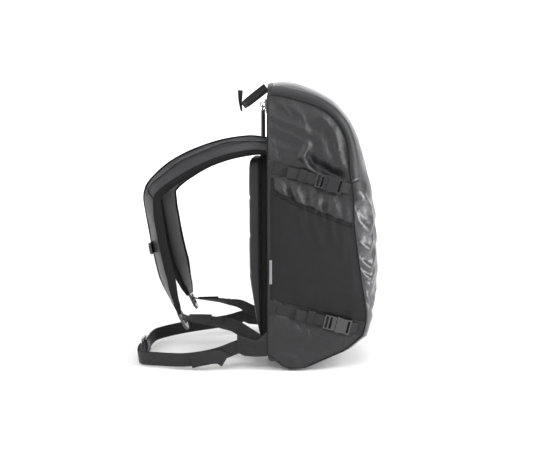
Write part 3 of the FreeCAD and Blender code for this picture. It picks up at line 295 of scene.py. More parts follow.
for side, sign in (("left", -1), ("right", 1)):
    x, z = side_grid[..., 0], side_grid[..., 1]
    shift = 0 if sign < 0 else 5
    lift = 1.3 * folds(x + shift, z - shift, FAN + GATHERS + HEM + LOWER)
    lift += 6.0 * np.exp(-(((x - 108) / 62) ** 2) - ((z - 462) / 40) ** 2)
    lift += ripples(x, z, 11 + sign, 16, 0.5) + ripples(x, z, 21 + sign, 42, 0.8)
    strap_low = 405 - (x - 40) * math.tan(math.radians(16))
    strap_high = 149 - (x - 44) * math.tan(math.radians(14))
    pressed = np.exp(-(((z - strap_low) / 11) ** 4)) + np.exp(-(((z - strap_high) / 11) ** 4))
    lift = lift * (1 - 0.85 * np.clip(pressed, 0, 1)) - 1.2 * pressed
    pocket_top = np.interp(x, [46, 70, 100, 126, 150, 190], [360, 348, 332, 322, 312, 297])
    pocketed = 1 / (1 + np.exp((z - pocket_top - 2) / 1.6)) / (1 + np.exp(-(z - 148) / 4))
    lift = lift * (1 - pocketed) - 1.5 * pocketed
    rim = np.clip(np.minimum(np.linspace(0, 1, 150)[None, :], 1 - np.linspace(0, 1, 150)[None, :]) * 9, 0, 1)
    ends_rim = np.clip(np.minimum(share, 1 - share) * 16, 0, 1)[:, None]
    lift = lift * rim * ends_rim + 1.0 * rim * ends_rim
    points = np.stack([x, sign * (134.2 + lift), z], axis=-1)
    panel = surface(f"side_panel_{side}", points, flip=sign > 0, weld=True, thick=1.0)
    dress(panel, side_nylon, "root")

# ---------------------------------------------------------------------------------------------------------
# Crown and front. One strip of glossier coated nylon runs from the back of the crown, down the front and
# under the base. Above the hinge it is the opening panel; the same cloth carries on below it.

# The same nylon with a glossier film coat, which wrinkles into bright creases.
front_nylon = woven("coated_nylon_gloss", "29292C", 0.30, 0.0012, 0.00005, 0.0022, 0.024, coat=0.5)

centre_edge = smooth_line([
    (36, 557), (50, 560), (68, 561), (88, 559), (109, 552), (126, 545), (143, 536), (158, 526), (172, 511),
    (188, 490), (203, 462), (213, 433), (221, 405), (229, 375), (234, 346), (238, 318), (241, 289), (243, 260),
    (243, 230), (242, 201), (239, 172), (235, 142), (231, 112), (226, 88)], 220)
sole_edge = smooth_line([(226, 88), (190, 68), (154, 52), (125, 41), (106, 35), (92, 32), (76, 32)], 60)
heel_edge = smooth_line([(76, 32), (62, 38), (49, 50), (36, 60)], 18)
heel_side = smooth_line([(76, 36), (63, 41), (50, 52), (36, 62)], 18)
seam_line = np.vstack([smooth_line(seam_edge, 220), smooth_line(base_edge, 60)[1:], heel_side[1:]])
centre_line = np.vstack([centre_edge, sole_edge[1:], heel_edge[1:]])


def roll(theta):
    """A superellipse of power 2.3: how far across (-1 to 1), and how far out (0 at the seam, 1 midway)."""
    across = np.sign(np.sin(theta)) * np.abs(np.sin(theta)) ** (2 / 2.3)
    return across, np.abs(np.cos(theta)) ** (2 / 2.3)


def strip_points(theta, first=0, last=None):
    """Points of the strip, rows along it and columns across it: seam + (centre - seam) * roll."""
    across, out = roll(np.asarray(theta))
    seams, centres = seam_line[first:last], centre_line[first:last]
    flat = seams[:, None, :] + (centres - seams)[:, None, :] * out[None, :, None]
    y = np.broadcast_to(135.0 * across, flat.shape[:2])
    return np.stack([flat[..., 0], y, flat[..., 1]], axis=-1)


def outward(points):
    """Unit normals of a grid of points, turned to face away from the bag's middle."""
    u = np.gradient(points, axis=0)
    v = np.gradient(points, axis=1)
    normal = np.cross(u, v)
    normal /= np.maximum(np.linalg.norm(normal, axis=2, keepdims=True), 1e-9)
    away = np.sign(np.sum(normal * (points - (110, 0, 290)), axis=2, keepdims=True))
    return normal * np.where(away == 0, 1, away)


angles = np.linspace(-math.pi / 2, math.pi / 2, 150)
strip = strip_points(angles)
# The front's creases, as (height, run in from the seam, height, run in, lift, width) in mm. They are laid from
# the left seam, and again from the right one a little lower and closer in.
CREASES = [
    (372, 8, 330, 44, 4.5, 8.7), (345, 4, 312, 26, -2.8, 7.2), (318, 4, 292, 30, 4, 7.2),
    (292, 30, 318, 56, 3.6, 8.7), (300, 56, 262, 84, 3.4, 11.6), (274, 3, 258, 24, 4, 5.1),
    (258, 24, 282, 44, 3.4, 7.2), (246, 6, 232, 26, -2.9, 5.8), (236, 3, 222, 22, 3.8, 5.1),
    (222, 22, 244, 48, 3.6, 7.2), (224, 4, 210, 18, -2.5, 5.8), (213, 3, 200, 18, 3.6, 5.1),
    (200, 18, 222, 46, 3.8, 7.2), (198, 4, 184, 20, 2.9, 5.8), (184, 20, 206, 52, 3.4, 8.7),
    (168, 3, 150, 22, 2.7, 5.8), (150, 22, 172, 58, 3.1, 8.7), (132, 5, 120, 40, 2.5, 8.7),
    (246, 60, 200, 92, 3.6, 13), (190, 60, 150, 96, 2.9, 13), (330, 80, 300, 120, 2.7, 14.5),
    (250, 110, 214, 150, 2.9, 14.5), (170, 110, 130, 150, 2.5, 14.5), (380, 60, 350, 110, 2.2, 17.4),
    (440, 40, 420, 100, 1.6, 20.3), (480, 70, 450, 150, 1.3, 23.2)]
steps = np.linalg.norm(np.diff(strip, axis=1), axis=2)
width_left = np.concatenate([np.zeros((len(strip), 1)), np.cumsum(steps, axis=1)], axis=1)
width_right = width_left[:, -1:] - width_left
heights = np.broadcast_to(centre_line[:, 1][:, None], width_left.shape)
lift = folds(heights, width_left, CREASES) + folds(heights + 9, width_right * 1.06, CREASES)
lift += ripples(heights, width_left, 5, 22, 0.55) + ripples(heights, width_left, 6, 60, 1.0)
near_seam = np.minimum(width_left, width_right)
lift += 0.9 * np.sin(heights / 4.6 + 2 * np.sin(heights / 19)) * np.exp(-near_seam / 9) * (heights < 380)
upper = np.clip((heights - 385) / 60, 0, 1)
lift *= (1 - 0.55 * upper) * np.clip(near_seam / 5, 0, 1)
strip = strip + outward(strip) * lift[..., None]
crown_start = int(np.argmin(np.abs(centre_line[:100, 0] - 47)))
crown_piece = surface("crown_and_front", strip[crown_start:], thick=1.0, flip=True)
dress(crown_piece, front_nylon, None, ["front_panel", "bag_shell"])
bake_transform(crown_piece)

yoke = surface("top_yoke", strip[:crown_start + 1], thick=1.0, flip=True)
dress(yoke, side_nylon, "root")

# ---------------------------------------------------------------------------------------------------------
# Back cloth. A flat nylon panel behind the back pad, sewn to the side panels and to the crown.

top_y, top_out = roll(angles)
back_top = 531 + (557 - 531) * top_out
back_low = 62 + (60 - 62) * top_out
level = np.linspace(0, 1, 90)[:, None]
back_z = back_low[None, :] * (1 - level) + back_top[None, :] * level
back_y = np.broadcast_to(135.0 * top_y, back_z.shape)
back_x = 35.6 + 0.6 * ripples(back_y, back_z, 41, 40, 1.0) * np.clip(level * (1 - level) * 12, 0, 1)
back_x = np.maximum(back_x, 35.2)
back_cloth = surface("back_cloth", np.stack([back_x, back_y, back_z], axis=-1), thick=1.0, flip=False)
dress(back_cloth, side_nylon, "root")

# ---------------------------------------------------------------------------------------------------------
# Seam piping. A folded nylon binding covers the raw edges where the side panels meet the front strip.


def tube(name, path, radius, around=10, ribs=None):
    """A round tube along a path in mm: rings square to the path, with ribs varying the radius by length."""
    path = np.asarray(path, float)
    tangent = np.gradient(path, axis=0)
    tangent /= np.linalg.norm(tangent, axis=1, keepdims=True)
    side_way = np.cross(tangent, (0, 1, 0))
    weak = np.linalg.norm(side_way, axis=1, keepdims=True) < 0.2
    side_way = np.where(weak, np.cross(tangent, (0, 0, 1)), side_way)
    side_way /= np.linalg.norm(side_way, axis=1, keepdims=True)
    other = np.cross(tangent, side_way)
    turn = np.linspace(0, 2 * math.pi, around, endpoint=False)
    size = np.full(len(path), float(radius)) if ribs is None else radius * ribs
    ring = side_way[:, None, :] * np.cos(turn)[None, :, None]
    ring = ring + other[:, None, :] * np.sin(turn)[None, :, None]
    return surface(name, path[:, None, :] + ring * size[:, None, None], around=True, ends=True)


# Matte nylon binding tape, darker than the panels.
binding_cloth = woven("nylon_binding_matte", "0C0C0D", 0.62, 0.0010, 0.00006, specular=0.25)
low_seam = seam_edge[seam_edge[:, 1] < 374]
for side, sign in (("left", -1), ("right", 1)):
    line = np.vstack([low_seam, base_edge[1:], heel_side[1:]])
    line = smooth_line(line, 260)
    path = np.stack([line[:, 0] + 0.4, np.full(len(line), sign * 135.3), line[:, 1]], axis=1)
    dress(tube(f"seam_piping_{side}", path, 1.25, 8), binding_cloth, "root")
    path = np.array([(35.8, sign * 135.0, z) for z in np.linspace(63, 530, 120)])
    dress(tube(f"back_piping_{side}", path, 1.3, 8), binding_cloth, "root")

# ---------------------------------------------------------------------------------------------------------
# Zip and rain flap. A coil zip follows the seam round the crown; a folded nylon band sewn above it sheds
# water off the coil and opens with the panel.

# Nylon coil teeth on woven tape: semi-gloss black.
coil_nylon, _, _ = start("zip_coil_nylon_semigloss", "0C0C0D", 0.35)
# Coated nylon of the flap, smooth from being folded and stitched flat.
flap_nylon = woven("coated_nylon_flap_satin", "19191B", 0.44, 0.0012, 0.00005, 0.0007, 0.03, specular=0.4)
# Bonded nylon stitching.
thread_nylon, _, _ = start("stitch_thread_satin", "1C1C1E", 0.5)


def stitches(name, path, out, length=3.0, gap=1.6, radius=0.32):
    """A row of stitches: short rounded bars of one mesh, laid along a path and raised along out, all in mm."""
    path, out = np.asarray(path, float), np.asarray(out, float)
    run = np.r_[0, np.cumsum(np.linalg.norm(np.diff(path, axis=0), axis=1))]
    starts = np.arange(gap, run[-1] - length, length + gap)
    turn = np.linspace(0, 2 * math.pi, 6, endpoint=False)
    shape = np.array([(0.0, 0.35), (0.2, 1.0), (0.8, 1.0), (1.0, 0.35)])
    at = starts[:, None] + shape[None, :, 0] * length
    centre = np.stack([np.interp(at, run, path[:, k]) for k in range(3)], axis=-1)
    raised = np.stack([np.interp(at, run, np.broadcast_to(out, path.shape)[:, k]) for k in range(3)], axis=-1)
    raised /= np.linalg.norm(raised, axis=-1, keepdims=True)
    along = centre[:, -1:] - centre[:, :1]
    along /= np.maximum(np.linalg.norm(along, axis=-1, keepdims=True), 1e-9)
    beside = np.cross(along, raised)
    size = radius * shape[None, :, 1, None, None]
    ring = size * (beside[:, :, None, :] * np.cos(turn)[None, None, :, None]
                   + raised[:, :, None, :] * np.sin(turn)[None, None, :, None])
    points = (centre[:, :, None, :] + ring).reshape(-1, 3)
    faces = []
    for n in range(len(starts)):
        first = n * 24
        rings = [first + 6 * r for r in range(3)]
        faces += [(at + k, at + (k + 1) % 6, at + 6 + (k + 1) % 6, at + 6 + k)
                  for at in rings for k in range(6)]
        faces += [tuple(range(first + 5, first - 1, -1)), tuple(range(first + 18, first + 24))]
    mesh = bpy.data.meshes.new(name)
    mesh.from_pydata(in_frame(points).tolist(), [], [face[::-1] for face in faces])
    mesh.polygons.foreach_set("use_smooth", np.ones(len(mesh.polygons), bool))
    piece = bpy.data.objects.new(name, mesh)
    bpy.context.scene.collection.objects.link(piece)
    return piece


def band_on_strip(first, last, reach):
    """Points on the strip's rows first to last, at the run-in distances from the seam that reach gives for
    each row, and the outward normals there."""
    half = strip_points(np.linspace(-math.pi / 2, 0, 400), first, last)
    steps = np.linalg.norm(np.diff(half, axis=1), axis=2)
    run = np.concatenate([np.zeros((len(half), 1)), np.cumsum(steps, axis=1)], axis=1)
    picked = np.stack([[np.interp(reach[r], run[r], half[r, :, k]) for k in range(3)]
                       for r in range(len(half))])
    picked = np.moveaxis(picked, 1, 2)
    return picked, outward(picked)


foot_row = int(np.argmin(np.abs(seam_line[:200, 1] - 376)))
for side, sign in (("left", -1), ("right", 1)):
    wide = np.linspace(0, 18.5, 26)
    picked, out = band_on_strip(2, foot_row, np.broadcast_to(wide, (foot_row - 2, 26)))
    raised = 1.6 + 1.3 * np.sin(np.clip(wide / 18.5, 0, 1) * math.pi) ** 0.7
    raised = raised - 1.4 * np.clip((wide - 16.5) / 2, 0, 1)
    waver = 0.5 * ripples(picked[..., 2], np.broadcast_to(wide * 3, picked.shape[:2]), 51 + sign, 30, 1.0)
    band = picked + out * (raised[None, :] + waver)[..., None]
    band[..., 1] *= -sign
    flap = surface(f"rain_flap_{side}_cloth", band, thick=1.2, flip=sign < 0)
    dress(flap, flap_nylon, None, ["rain_flap"])
    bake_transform(flap)
    edge = band[:, 21] + outward(band)[:, 21] * 0.1
    rim = tube(f"flap_piping_{side}", smooth_line(band[:, 25] + outward(band)[:, 25] * 0.3, 300), 1.0, 8)
    dress(rim, binding_cloth)
    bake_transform(rim)
    row = stitches(f"flap_stitches_{side}", edge, outward(band)[:, 21])
    dress(row, thread_nylon)
    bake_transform(row)
    rows = seam_line[crown_start:foot_row + 2]
    path = np.stack([rows[:, 0], np.full(len(rows), sign * 135.6), rows[:, 1] - 0.6], axis=1)
    path = smooth_line(path, 900)
    length = np.r_[0, np.cumsum(np.linalg.norm(np.diff(path, axis=0), axis=1))]
    # Coil teeth of 0.8 mm pitch are drawn at 1.8 mm.
    coil = tube(f"zip_coil_{side}", path, 1.6, 8, ribs=1 + 0.28 * np.sin(2 * math.pi * length / 1.8))
    dress(coil, coil_nylon, "root", ["zip_tape"])

# ---------------------------------------------------------------------------------------------------------
# Back pad. Two moulded foam pads with a spine channel, covered in smooth fabric, stand off the back cloth
# on a narrower spacer of black mesh foam, whose near-black colour also paints the shade between pad and cloth.


def block_rings(levels, front, rear, half_width, power, around=180):
    """Rounded rectangles stacked by height: superellipses between front and rear X, half_width each way."""
    turn = np.linspace(0, 2 * math.pi, around, endpoint=False)
    c, s = np.cos(turn), np.sin(turn)
    x = np.sign(c) * np.abs(c) ** (2 / power)
    y = np.sign(s) * np.abs(s) ** (2 / power)
    middle, deep = (front + rear) / 2, (rear - front) / 2
    return np.stack([
        middle[:, None] + deep[:, None] * x[None, :], half_width[:, None] * y[None, :],
        np.broadcast_to(levels[:, None], (len(levels), around))], axis=-1)


# Smooth polyester over foam, dry and fine.
pad_fabric = woven("pad_fabric_matte", "1D1D1F", 0.6, 0.0012, 0.00006, 0.0006, 0.02, specular=0.4, sheen=0.12)
# Open spacer mesh, black: near-black so that it also paints the shade in the gap behind the pad.
spacer_mesh_and_gap_shade = woven("spacer_mesh_black_painted_gap_shade", "0A0A0B", 0.8, 0.0025, 0.0004)

levels = 68 + 352 * (0.5 - 0.5 * np.cos(np.linspace(0, math.pi, 170)))
pad_front = np.interp(
    levels, [68, 73, 95, 120, 160, 200, 400, 412, 417, 420], [27, 24.5, 19, 13.5, 7, 0.9, 0.0, 1.6, 4.5, 9])
end_round = np.clip(np.minimum(levels - 68, 420 - levels) / 14, 0, 1)
pad_half = 95 - 16 * (1 - np.sqrt(1 - (1 - end_round) ** 2)) - np.interp(levels, [68, 150, 420], [10, 2, 0])
rings = block_rings(levels, pad_front, np.full(len(levels), 23.0), pad_half, 7.0)
facing = np.clip((12 - rings[..., 0]) / 8, 0, 1)
spine = np.exp(-((rings[..., 1] / 19) ** 6))
cross_seams = sum(np.exp(-(((rings[..., 2] - at) / 3.2) ** 2)) for at in (135, 205, 275, 345))
wing_seams = np.exp(-(((np.abs(rings[..., 1]) - 22) / 2.6) ** 2))
dent = 5.0 * spine + (1 - spine) * (1.7 * cross_seams + 1.2 * wing_seams)
dent += 0.35 * (ripples(rings[..., 1], rings[..., 2], 61, 26, 1.0) + 1)
rings[..., 0] += np.clip(dent, 0, None) * facing
back_pad = surface("back_pad_foam", rings, around=True, ends=True)
dress(back_pad, pad_fabric, "root", ["back_pad"])

levels = np.linspace(74, 430, 60)
spacer_rings = block_rings(
    levels, np.full(60, 22.0), np.full(60, 35.0), 84 - 10 * np.clip(1 - (levels - 74) / 12, 0, 1) ** 2, 8.0, 80)
# The spacer's near-black colour stands in for the shade between the pad and the back cloth.
spacer = surface("back_pad_spacer", spacer_rings, around=True, ends=True)
dress(spacer, spacer_mesh_and_gap_shade, "root")

# ---------------------------------------------------------------------------------------------------------
# Shoulder straps. Curved foam straps under smooth fabric, their edges bound with folded tape. The left one
# has a zipped slit over the shoulder, where the trigger's cable runs, and an overlapped join at the bend.


def sweep(path, half_width, half_thick, tilt, sign, power=2.8, around=60, shift=0.0):
    """A flattened superellipse carried along an X-height path at Y = sign * 95, turned about the path by tilt.
    shift moves its middle across the strap, in mm."""
    path = np.asarray(path, float)
    way = np.gradient(path, axis=0)
    way /= np.linalg.norm(way, axis=1, keepdims=True)
    along = np.stack([way[:, 0], np.zeros(len(way)), way[:, 1]], axis=1)
    out = np.cross((0, 1, 0), along)
    cos, sin = np.cos(tilt)[:, None], np.sin(tilt)[:, None]
    wide = sign * cos * np.array([[0, 1, 0]]) - sin * out
    up = cos * out + sign * sin * np.array([[0, 1, 0]])
    turn = np.linspace(0, 2 * math.pi, around, endpoint=False)
    c = np.sign(np.cos(turn)) * np.abs(np.cos(turn)) ** (2 / power)
    s = np.sign(np.sin(turn)) * np.abs(np.sin(turn)) ** (2 / power)
    middle = np.stack([path[:, 0], np.full(len(path), 95.0 * sign), path[:, 1]], axis=1)
    middle = middle + wide * np.asarray(shift).reshape(-1, 1)
    grid = middle[:, None, :] + wide[:, None, :] * (half_width[:, None] * c[None, :])[..., None]
    return grid + up[:, None, :] * (half_thick[:, None] * s[None, :])[..., None], middle, wide, up


# Smooth strap fabric, slightly lighter where it is stretched over the shoulder.
strap_fabric = woven(
    "strap_fabric_satin", "222225", 0.42, 0.0012, 0.00006, 0.0006, 0.016, specular=0.45, sheen=0.08)
# Folded binding tape, black and dry.
binding_tape = woven("binding_tape_matte", "0A0A0B", 0.7, 0.0012, 0.0001, specular=0.2)

strap_line = smooth_line([
    (34, 441), (4, 442), (-42, 434), (-88, 418), (-127, 398),
    (-158, 375), (-176, 352), (-175, 322), (-170, 290),
    (-164, 255), (-155, 213), (-144, 174), (-134, 145), (-129, 130)], 240)
part = np.linspace(0, 1, 240)
tilt = np.radians(np.interp(part, [0, 0.2, 0.38, 0.48, 0.6, 0.85, 1.0], [30, 33, 36, 30, 23, 23, 10]))
half_wide = np.interp(part, [0, 0.08, 0.3, 0.85, 0.95, 1.0], [27, 29, 31, 31, 24, 15])
half_deep = np.interp(part, [0, 0.06, 0.2, 0.45, 0.6, 0.88, 0.97, 1.0], [4, 6, 7, 7.5, 9.5, 9.2, 5.5, 3.4])
join = 0.505
half_deep = half_deep - 0.9 * (part > join) * (part < 0.95)
for side, sign in (("left", -1), ("right", 1)):
    grid, middle, wide, up = sweep(strap_line, half_wide, half_deep, tilt, sign)
    soft = ripples(grid[..., 0] + grid[..., 2], grid[..., 1], 71 + sign, 30, 0.35)
    grid = grid + up[:, None, :] * soft[..., None]
    strap = surface(f"shoulder_strap_{side}_foam", grid, around=True, ends=True)
    dress(strap, strap_fabric, "root", [f"shoulder_strap_{side}"])
    for edge, way in (("outer", 1), ("inner", -1)):
        slim = np.interp(part, [0, 0.45, 0.6, 0.9, 1], [4.2, 4.5, 5.5, 5, 4])
        flat = half_deep * 0.88 + 0.6
        bind, _, _, _ = sweep(strap_line, slim, flat, tilt, sign, 2.2, 20, way * (half_wide - 3.0))
        piece = surface(f"strap_binding_{edge}_{side}", bind, around=True, ends=True)
        dress(piece, binding_tape, "root")
    cut = int(join * 240)
    across = np.linspace(-0.93, 0.93, 40)
    bulge = half_deep[cut - 1] * np.abs(1 - np.abs(across) ** 2.8) ** (1 / 2.8)
    step = (strap_line[cut + 1] - strap_line[cut - 1])[None, [0, 0, 1]] * (1, 0, 1)
    skew = np.linspace(-2.0, 2.0, 40)[:, None] * step * 0.8
    seam = middle[cut] + across[:, None] * half_wide[cut] * wide[cut] + (bulge[:, None] + 0.1) * up[cut] + skew
    dress(tube(f"strap_join_{side}", seam, 0.9, 8), binding_tape, "root")
    rows_used = np.arange(2, 96)
    u = np.interp(rows_used, [2, 60, 90, 95], [-0.42, -0.5, -0.55, -0.46])
    bulge = half_deep[rows_used] * (1 - np.abs(u) ** 2.8) ** (1 / 2.8)
    slit = middle[rows_used] + (u * half_wide[rows_used])[:, None] * wide[rows_used]
    slit = slit + (bulge + 0.1)[:, None] * up[rows_used]
    dress(tube(f"strap_slit_{side}", smooth_line(slit, 200), 1.3, 8), coil_nylon, "root")
    lip = slit + wide[rows_used] * 2.4 + up[rows_used] * 0.1
    dress(tube(f"strap_slit_lip_{side}", smooth_line(lip, 200), 1.5, 8), strap_fabric, "root")
    for place in (0.80, -0.80):
        rows_used = np.arange(cut + 6, 222)
        bulge = half_deep[rows_used] * (1 - abs(place) ** 2.8) ** (1 / 2.8) + 0.35
        line = middle[rows_used] + (place * half_wide[rows_used])[:, None] * wide[rows_used]
        line = line + bulge[:, None] * up[rows_used]
        row = stitches(f"strap_stitches_{side}_{'outer' if place > 0 else 'inner'}", line, up[rows_used])
        dress(row, thread_nylon, "root")

# ---------------------------------------------------------------------------------------------------------
# Webbing. Flat woven nylon webbing, ribbed along its length, for the compression straps, the lower shoulder
# webbing, the hip belt and the sternum strap. Ends are folded and bar-tacked.


def webbing(name, code):
    """Ribbed webbing: ridges 2.2 mm apart along the length, crossed by 1.5 mm picks, on real UV lengths."""
    material, tree, shader = start(name, code, 0.58, specular=0.35, sheen=0.05)
    parts = add(tree, "ShaderNodeSeparateXYZ", {0: add(tree, "ShaderNodeUVMap", uv_map="UVMap").outputs["UV"]})
    ridge = add(tree, "ShaderNodeMath", {0: parts.outputs["X"], 1: 2 * math.pi / 0.0022}, operation="MULTIPLY")
    ridge = add(tree, "ShaderNodeMath", {0: ridge.outputs[0]}, operation="SINE")
    shifted = add(tree, "ShaderNodeMath", {0: ridge.outputs[0], 1: 0.9}, operation="MULTIPLY")
    pick = add(tree, "ShaderNodeMath", {0: parts.outputs["Y"], 1: 2 * math.pi / 0.0015}, operation="MULTIPLY")
    pick = add(tree, "ShaderNodeMath", {0: pick.outputs[0], 1: shifted.outputs[0]}, operation="ADD")
    pick = add(tree, "ShaderNodeMath", {0: pick.outputs[0]}, operation="SINE")
    height = add(tree, "ShaderNodeMath", {0: ridge.outputs[0], 1: pick.outputs[0]}, operation="ADD")
    bump = add(tree, "ShaderNodeBump", {"Height": height.outputs[0], "Distance": 0.00012, "Strength": 1.0})
    tree.links.new(bump.outputs["Normal"], shader.inputs["Normal"])
    return material


# Black polyamide webbing.
strap_webbing = webbing("webbing_polyamide_black", "131315")
dark_webbing = webbing("webbing_polyamide_deep_black", "0C0C0E")


def ribbon(name, path, wide, width, thick, count=90, around=28, power=4.0, taper=None):
    """A flat band with rounded edges: a superellipse of width by thick along a smooth path in mm.
    wide is its width direction, one for all or one at each path point."""
    path = np.asarray(path, float)
    line = smooth_line(path, count)
    wide = np.broadcast_to(np.asarray(wide, float), path.shape)
    spread = np.linspace(0, len(path) - 1, count)
    wide = np.stack([np.interp(spread, np.arange(len(path)), wide[:, k]) for k in range(3)], axis=1)
    along = np.gradient(line, axis=0)
    along /= np.linalg.norm(along, axis=1, keepdims=True)
    wide = wide - along * np.sum(wide * along, axis=1, keepdims=True)
    wide /= np.linalg.norm(wide, axis=1, keepdims=True)
    up = np.cross(along, wide)
    turn = np.linspace(0, 2 * math.pi, around, endpoint=False)
    c = np.sign(np.cos(turn)) * np.abs(np.cos(turn)) ** (2 / power)
    s = np.sign(np.sin(turn)) * np.abs(np.sin(turn)) ** (2 / power)
    scale = np.ones(count) if taper is None else np.interp(np.linspace(0, 1, count), *taper)
    grid = line[:, None, :] + wide[:, None, :] * (scale[:, None] * width / 2 * c[None, :])[..., None]
    grid = grid + up[:, None, :] * (thick / 2 * s)[None, :, None]
    return surface(name, grid, around=True, ends=True)


def bar_tack(name, middle, wide, out, width):
    """Zigzag stitching across a webbing of some width: a dense block of short threads, one mesh."""
    wide, out = np.asarray(wide, float), np.asarray(out, float)
    along = np.cross(out, wide)
    steps_across = np.linspace(-width / 2 + 1.5, width / 2 - 1.5, 24)
    swing = np.where(np.arange(24) % 2 == 0, 1.1, -1.1)
    path = np.asarray(middle, float) + steps_across[:, None] * wide + swing[:, None] * along
    return tube(name, path, 0.42, 6)


def strap_at(x0, z0, slope, sign):
    """A function from (run along the strap, lift off the cloth, shift across) to a point on a side strap."""
    a = math.radians(slope)

    def point(run, lift, shift=0.0):
        x = x0 + run * math.cos(a) + shift * math.sin(a)
        return (x, sign * (135 + lift), z0 - run * math.sin(a) + shift * math.cos(a))
    return point, (math.sin(a), 0, math.cos(a))


# Patch cloth: the panel nylon, doubled and stitched down.
patch_nylon = woven("coated_nylon_patch", "161618", 0.46, 0.0012, 0.00006, 0.0006, 0.015, specular=0.4)
for side, sign in (("left", -1), ("right", 1)):
    for level, x0, z0, slope, length, clip in (
            ("upper", 40, 405, 16, 154, 85), ("lower", 44, 149, 14, 166, 97)):
        at, wide = strap_at(x0, z0, slope, sign)
        out = (0, sign, 0)
        main = [at(-2, 0.9), at(8, 2.3), at(clip * 0.35, 2.1, 0.3), at(clip - 38, 2.4, -0.3),
                at(clip - 22, 2.8),
                at(clip - 8, 4.4), at(clip + 2, 6.6), at(clip + 7, 7.4)]
        web = ribbon(f"{level}_strap_{side}_web", main, wide, 20, 1.9)
        dress(web, strap_webbing, None, [f"{level}_strap_{side}"])
        tuple(in_frame(at(8, 2)))
        tuple(in_frame(at(clip - 8, 4)))
        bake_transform(web)
        tail = [at(clip + 3, 8.0), at(clip - 3, 8.4), at(clip - 12, 6.4), at(clip - 24, 5.0),
                at(clip - 38, 5.2, -0.6), at(clip - 52, 6.4, -1.6)]
        web = ribbon(f"{level}_tail_{side}_web", tail, wide, 19.6, 1.8, 60)
        dress(web, strap_webbing, f"{level}_clip_{side}")
        hold = [at(clip - 31 + k, 3.9) for k in (0, 6, 13)]
        keeper = ribbon(f"{level}_keeper_{side}_web", hold, wide, 23.5, 6.6, 20, 40, 5.0)
        first = level == "upper" and sign < 0
        dress(keeper, dark_webbing, "root", ["strap_keepers"] if first else [])
        tab = [at(clip + 44, 7.2), at(clip + 50, 6.6), at(clip + 58, 3.4),
               at(length - 4, 1.6), at(length + 3, 1.0)]
        dress(ribbon(f"{level}_tab_{side}_web", tab, wide, 20, 1.9, 40), strap_webbing, "root",
              ["buckle_tabs"] if first else [])
        for label, run, lift in (("back", 9, 3.4), ("front", length - 4, 2.7)):
            tack = bar_tack(f"{level}_tack_{label}_{side}", at(run, lift), wide, out, 19)
            dress(tack, thread_nylon, "root")
    corners = {"upper": [(36.5, 418), (66, 411), (60, 383), (36.5, 389)],
               "lower": [(36.5, 166), (62, 160), (62, 131), (36.5, 137)]}
    for level, quad in corners.items():
        s, t = np.meshgrid(np.linspace(0, 1, 24), np.linspace(0, 1, 24), indexing="ij")
        q = np.asarray(quad, float)
        weights = ((1 - s) * (1 - t), (1 - s) * t, s * t, s * (1 - t))
        flat = sum(weight[..., None] * corner for weight, corner in zip(weights, q))
        rim = np.clip(np.minimum(np.minimum(s, 1 - s), np.minimum(t, 1 - t)) * 8, 0, 1)
        lift = 0.3 + 0.9 * rim + ripples(flat[..., 0], flat[..., 1], 81, 12, 0.3)
        points = np.stack([flat[..., 0], sign * (134.6 + lift), flat[..., 1]], axis=-1)
        patch = surface(f"{level}_patch_{side}", points, thick=0.8, flip=sign < 0)
        dress(patch, patch_nylon, "root")
    rows = np.where((seam_line[:, 1] < 376) & (seam_line[:, 1] > 342) & (np.arange(len(seam_line)) < 220))[0]
    count = rows[-1] + 1 - rows[0]
    reach = np.interp(np.arange(count), [0, count * 0.45, count - 1], [16, 36, 24])
    picked, out_here = band_on_strip(rows[0], rows[-1] + 1, np.linspace(0.4, reach, 20).T)
    patch_front = picked + out_here * 1.9
    patch_front[..., 1] *= -sign
    patch = surface(f"front_patch_{side}", patch_front, thick=1.2, flip=sign < 0)
    dress(patch, patch_nylon, "root")

for side, sign in (("left", -1), ("right", 1)):
    path = [(-124.5, 96, 124.5), (-112, 96, 120), (-97, 97, 118.5), (-70, 99, 116.5), (-47, 101, 112),
            (-24, 104, 107), (0, 110, 93), (20, 118, 82), (33, 126, 76)]
    lean = np.radians([8, 14, 26, 34, 44, 58, 66, 70, 72])
    path = [(x, sign * y, z) for x, y, z in path]
    wide = np.stack([np.zeros(9), sign * np.cos(lean), -np.sin(lean)], axis=1)
    web = ribbon(f"lower_webbing_{side}_web", path, wide, 25, 2.4, 120)
    dress(web, strap_webbing, "root", [f"lower_webbing_{side}"])
    fold = [(x, y, z + 2.4) for x, y, z in path[1:4]]
    dress(ribbon(f"lower_hem_{side}_web", fold, wide[1:4], 25.4, 2.2, 40), strap_webbing, "root")
    for number, k in enumerate((2, 4)):
        above = np.array(path[k]) + (0, 0, 2.7 if k == 2 else 1.6)
        tack = bar_tack(f"lower_tack_{number}_{side}", above, wide[k],
                        (0, sign * math.sin(lean[k]), math.cos(lean[k])), 24)
        dress(tack, thread_nylon, "root")

# ---------------------------------------------------------------------------------------------------------
# Hip belt. 25 mm webbing from a folded nylon wing at each side to a flat hook buckle in front. The left
# end turns back through the buckle and its tail is folded over the belt.


def belt_point(x, y, height=0.0, sag=0.0):
    """A point of the belt's own frame, which dips 7.6 degrees towards the buckle, as drawing millimetres."""
    a = math.radians(7.6)
    return (-20 + x * math.cos(a) - height * math.sin(a), y, 70 + x * math.sin(a) + height * math.cos(a) - sag)


belt_wide = (-math.sin(math.radians(7.6)), 0, math.cos(math.radians(7.6)))
